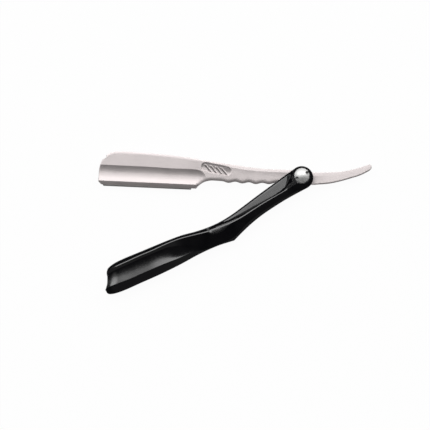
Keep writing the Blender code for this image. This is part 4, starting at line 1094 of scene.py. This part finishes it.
def brushed(name, colour, roughness, spread=0.05, tone=0.06, grain=9000.0, depth=0.0000015):
    """Metal with fine lines drawn along the holder; points marked with shade are drawn darker as painted
    shade.
    """
    made = Finish(name, colour, roughness, 1.0)
    plain = made.place(-HOLDER_ANGLE)
    streaks = made.noise(made.place(-HOLDER_ANGLE, (0.02, 1.0, 1.0)), grain, 3.0, 0.6)
    cloud = made.noise(plain, 90.0, 4.0)
    strong = made.ramp(streaks, 0.3, 0.7, 0.0, 0.7)
    share = made.math("ADD", strong, made.ramp(cloud, 0.35, 0.65, 0.0, 0.3))
    clean = made.mix(share, tinted(colour, 1 - tone), tinted(colour, 1 + tone))
    rough = made.ramp(streaks, 0.3, 0.7, roughness - spread, roughness + spread)
    lines = made.bump(streaks, depth, 0.6)
    return made.finish({
        "Base Color": made.mix(made.attribute("shade"), clean, tinted(colour, SHADE_SHARE)),
        "Roughness": made.math("ADD", rough, made.ramp(cloud, 0.35, 0.7, -spread / 2, spread / 2)),
        "Normal": made.bump(made.noise(plain, 2600.0, 2.0), depth, 0.35, Normal=lines),
    })


def turned_metal(name, colour, roughness):
    """Metal turned on a lathe, with fine rings; faces marked as spanner holes are drawn darker as painted
    shade.
    """
    made = Finish(name, colour, roughness, 1.0)
    source = made.add("TexCoord", {}, "Object")
    flat = made.add("VectorMath", {0: source, 1: (1.0, 1.0, 0.0)}, operation="MULTIPLY")
    reach = made.add("VectorMath", {0: flat}, "Value", operation="LENGTH")
    rings = made.noise(made.add("CombineXYZ", {"X": reach}), 14000.0, 2.0)
    cloud = made.noise(source, 300.0, 4.0)
    ringed = made.mix(made.ramp(rings, 0.3, 0.7, 0.0, 1.0), tinted(colour, 0.92), tinted(colour, 1.0))
    rough = made.ramp(rings, 0.3, 0.7, roughness - 0.03, roughness + 0.03)
    return made.finish({
        "Base Color": made.mix(made.attribute("hole_shade"), ringed, tinted(colour, HOLE_SHADE_SHARE)),
        "Roughness": made.math("ADD", rough, made.ramp(cloud, 0.35, 0.7, -0.02, 0.05)),
        "Normal": made.bump(rings, 0.000001, 0.4),
    })


def coat(mesh, material):
    """One finish all over a mesh."""
    mesh.materials.clear()
    mesh.materials.append(material)


def dress(obj, material, body, node):
    """A finer piece gets its finish and takes the place of a CAD node."""
    coat(obj.data, material)
    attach(obj, body)
    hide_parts(node)


def make_object():
    black = plastic("moulded_black")
    steel = brushed("satin_steel_brushed", (0.70, 0.645, 0.64), 0.50)
    chrome = turned_metal("turned_steel", (0.79, 0.79, 0.78), 0.50)
    bright = brushed("blade_steel_ground", (0.62, 0.61, 0.60), 0.32, 0.03)
    fastener = turned_metal("fastener_steel_turned", (0.46, 0.46, 0.47), 0.36)
    brass = turned_metal("brass_turned", (0.72, 0.52, 0.22), 0.30)
    bronze = turned_metal("bronze_turned", (0.56, 0.36, 0.18), 0.40)

    for side, node in ((1, "front_scale"), (-1, "back_scale")):
        dress(make_scale(side), black, "handle", node)
    body, jaw = make_holder()
    cut_holder(body, jaw)
    dress(body, steel, "holder", "blade_holder")
    dress(jaw, steel, "holder", "clamp_jaw")
    dress(make_pivot_screw(), chrome, "handle", "pivot_screw")

    steel_parts = ("scale_screw", "spacer_dowel", "jaw_screw", "jaw_dowel", "spring", "toe_spacer")
    finishes = (
        ("backspacer", black), ("razor_blade", bright), ("pivot_nut", chrome), (steel_parts, fastener),
        ("scale_insert", brass), (("front_thrust", "back_thrust", "tang_bush"), bronze),
    )
    for name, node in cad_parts.items():
        for starts, material in finishes:
            if name.startswith(starts):
                coat(node.data, material)


# Floor, light and camera

FLOOR_SIZE = 12.0
FLOOR_GAP = 0.00005
FLOOR_GLOW = 0.96
KEY_TILT = radians(26.0)
KEY_TURN = radians(95.0)
KEY_DISTANCE = 1.5
KEY_WIDTH = 0.52
KEY_LENGTH = 3.0
KEY_RADIANCE = 3.3
CAMERA_LENS = 200.0
SENSOR_WIDTH = 36.0
PICTURE_WIDTH = 0.28982
PICTURE_CENTRE = (-0.0585032, -0.0265556)
PICTURE_PLANE = 0.0085


def make_floor():
    """A plain white floor that keeps a soft shadow."""
    half = FLOOR_SIZE / 2
    corners = ((-half, -half), (half, -half), (half, half), (-half, half))
    mesh = bpy.data.meshes.new("floor")
    mesh.from_pydata([(x, y, -FLOOR_GAP) for x, y in corners], [], [(0, 1, 2, 3)])
    floor = new_object("floor", mesh)
    mesh.materials.append(bpy.data.materials.new("floor_white"))
    made = Nodes(mesh.materials[0])
    camera, glossy, through = (
        made.add("LightPath", {}, f"Is {kind} Ray") for kind in ("Camera", "Glossy", "Transmission")
    )
    seen = made.math("MAXIMUM", made.math("MAXIMUM", camera, glossy), through)
    diffuse = made.add("BsdfDiffuse", {"Color": (0.86, 0.86, 0.86, 1.0)})
    glow = made.add("Emission", {"Color": WHITE})
    blend = {"Fac": made.math("MULTIPLY", seen, FLOOR_GLOW), 1: diffuse, 2: glow}
    made.feed(made.tree.nodes["Material Output"], {"Surface": made.add("MixShader", blend)})


def make_light():
    """A pale world, darker toward -Y and overhead, and one long lamp over the far side."""
    world = bpy.data.worlds.new("studio")
    bpy.context.scene.world = world
    made = Nodes(world)
    split = {"Vector": made.add("TexCoord", {}, "Generated")}
    soft = {"interpolation_type": "SMOOTHSTEP"}
    side = made.ramp(made.add("SeparateXYZ", split, "Y"), -0.45, 0.5, 0.15, 0.95, **soft)
    near, far = cos(radians(27)), cos(radians(11))
    hole = made.ramp(made.add("SeparateXYZ", split, "Z"), near, far, 1.0, 0.05, **soft)
    strength = made.math("MULTIPLY", side, hole)
    made.feed(made.tree.nodes["Background"], {"Color": WHITE, "Strength": strength})

    lamp = bpy.data.lights.new("key_strip", "AREA")
    lamp.shape = "RECTANGLE"
    lamp.size = KEY_LENGTH
    lamp.size_y = KEY_WIDTH
    lamp.energy = KEY_RADIANCE * pi * KEY_WIDTH * KEY_LENGTH
    low = sin(KEY_TILT)
    away = Vector((low * cos(KEY_TURN), low * sin(KEY_TURN), cos(KEY_TILT)))
    key = new_object("key_strip", lamp)
    key.location = Vector((*PICTURE_CENTRE, PICTURE_PLANE)) + away * KEY_DISTANCE
    key.rotation_euler = away.to_track_quat("Z", "Y").to_euler()
    key.visible_camera = False


def make_camera():
    camera = bpy.data.cameras.new("camera")
    camera.lens = CAMERA_LENS
    camera.sensor_width = SENSOR_WIDTH
    camera.clip_end = 20.0
    eye = new_object("camera", camera)
    eye.location = (*PICTURE_CENTRE, PICTURE_PLANE + PICTURE_WIDTH * CAMERA_LENS / SENSOR_WIDTH)
    bpy.context.scene.camera = eye


make_object()
make_floor()
make_light()
make_camera()
bpy.context.scene.view_settings.view_transform = "Standard"
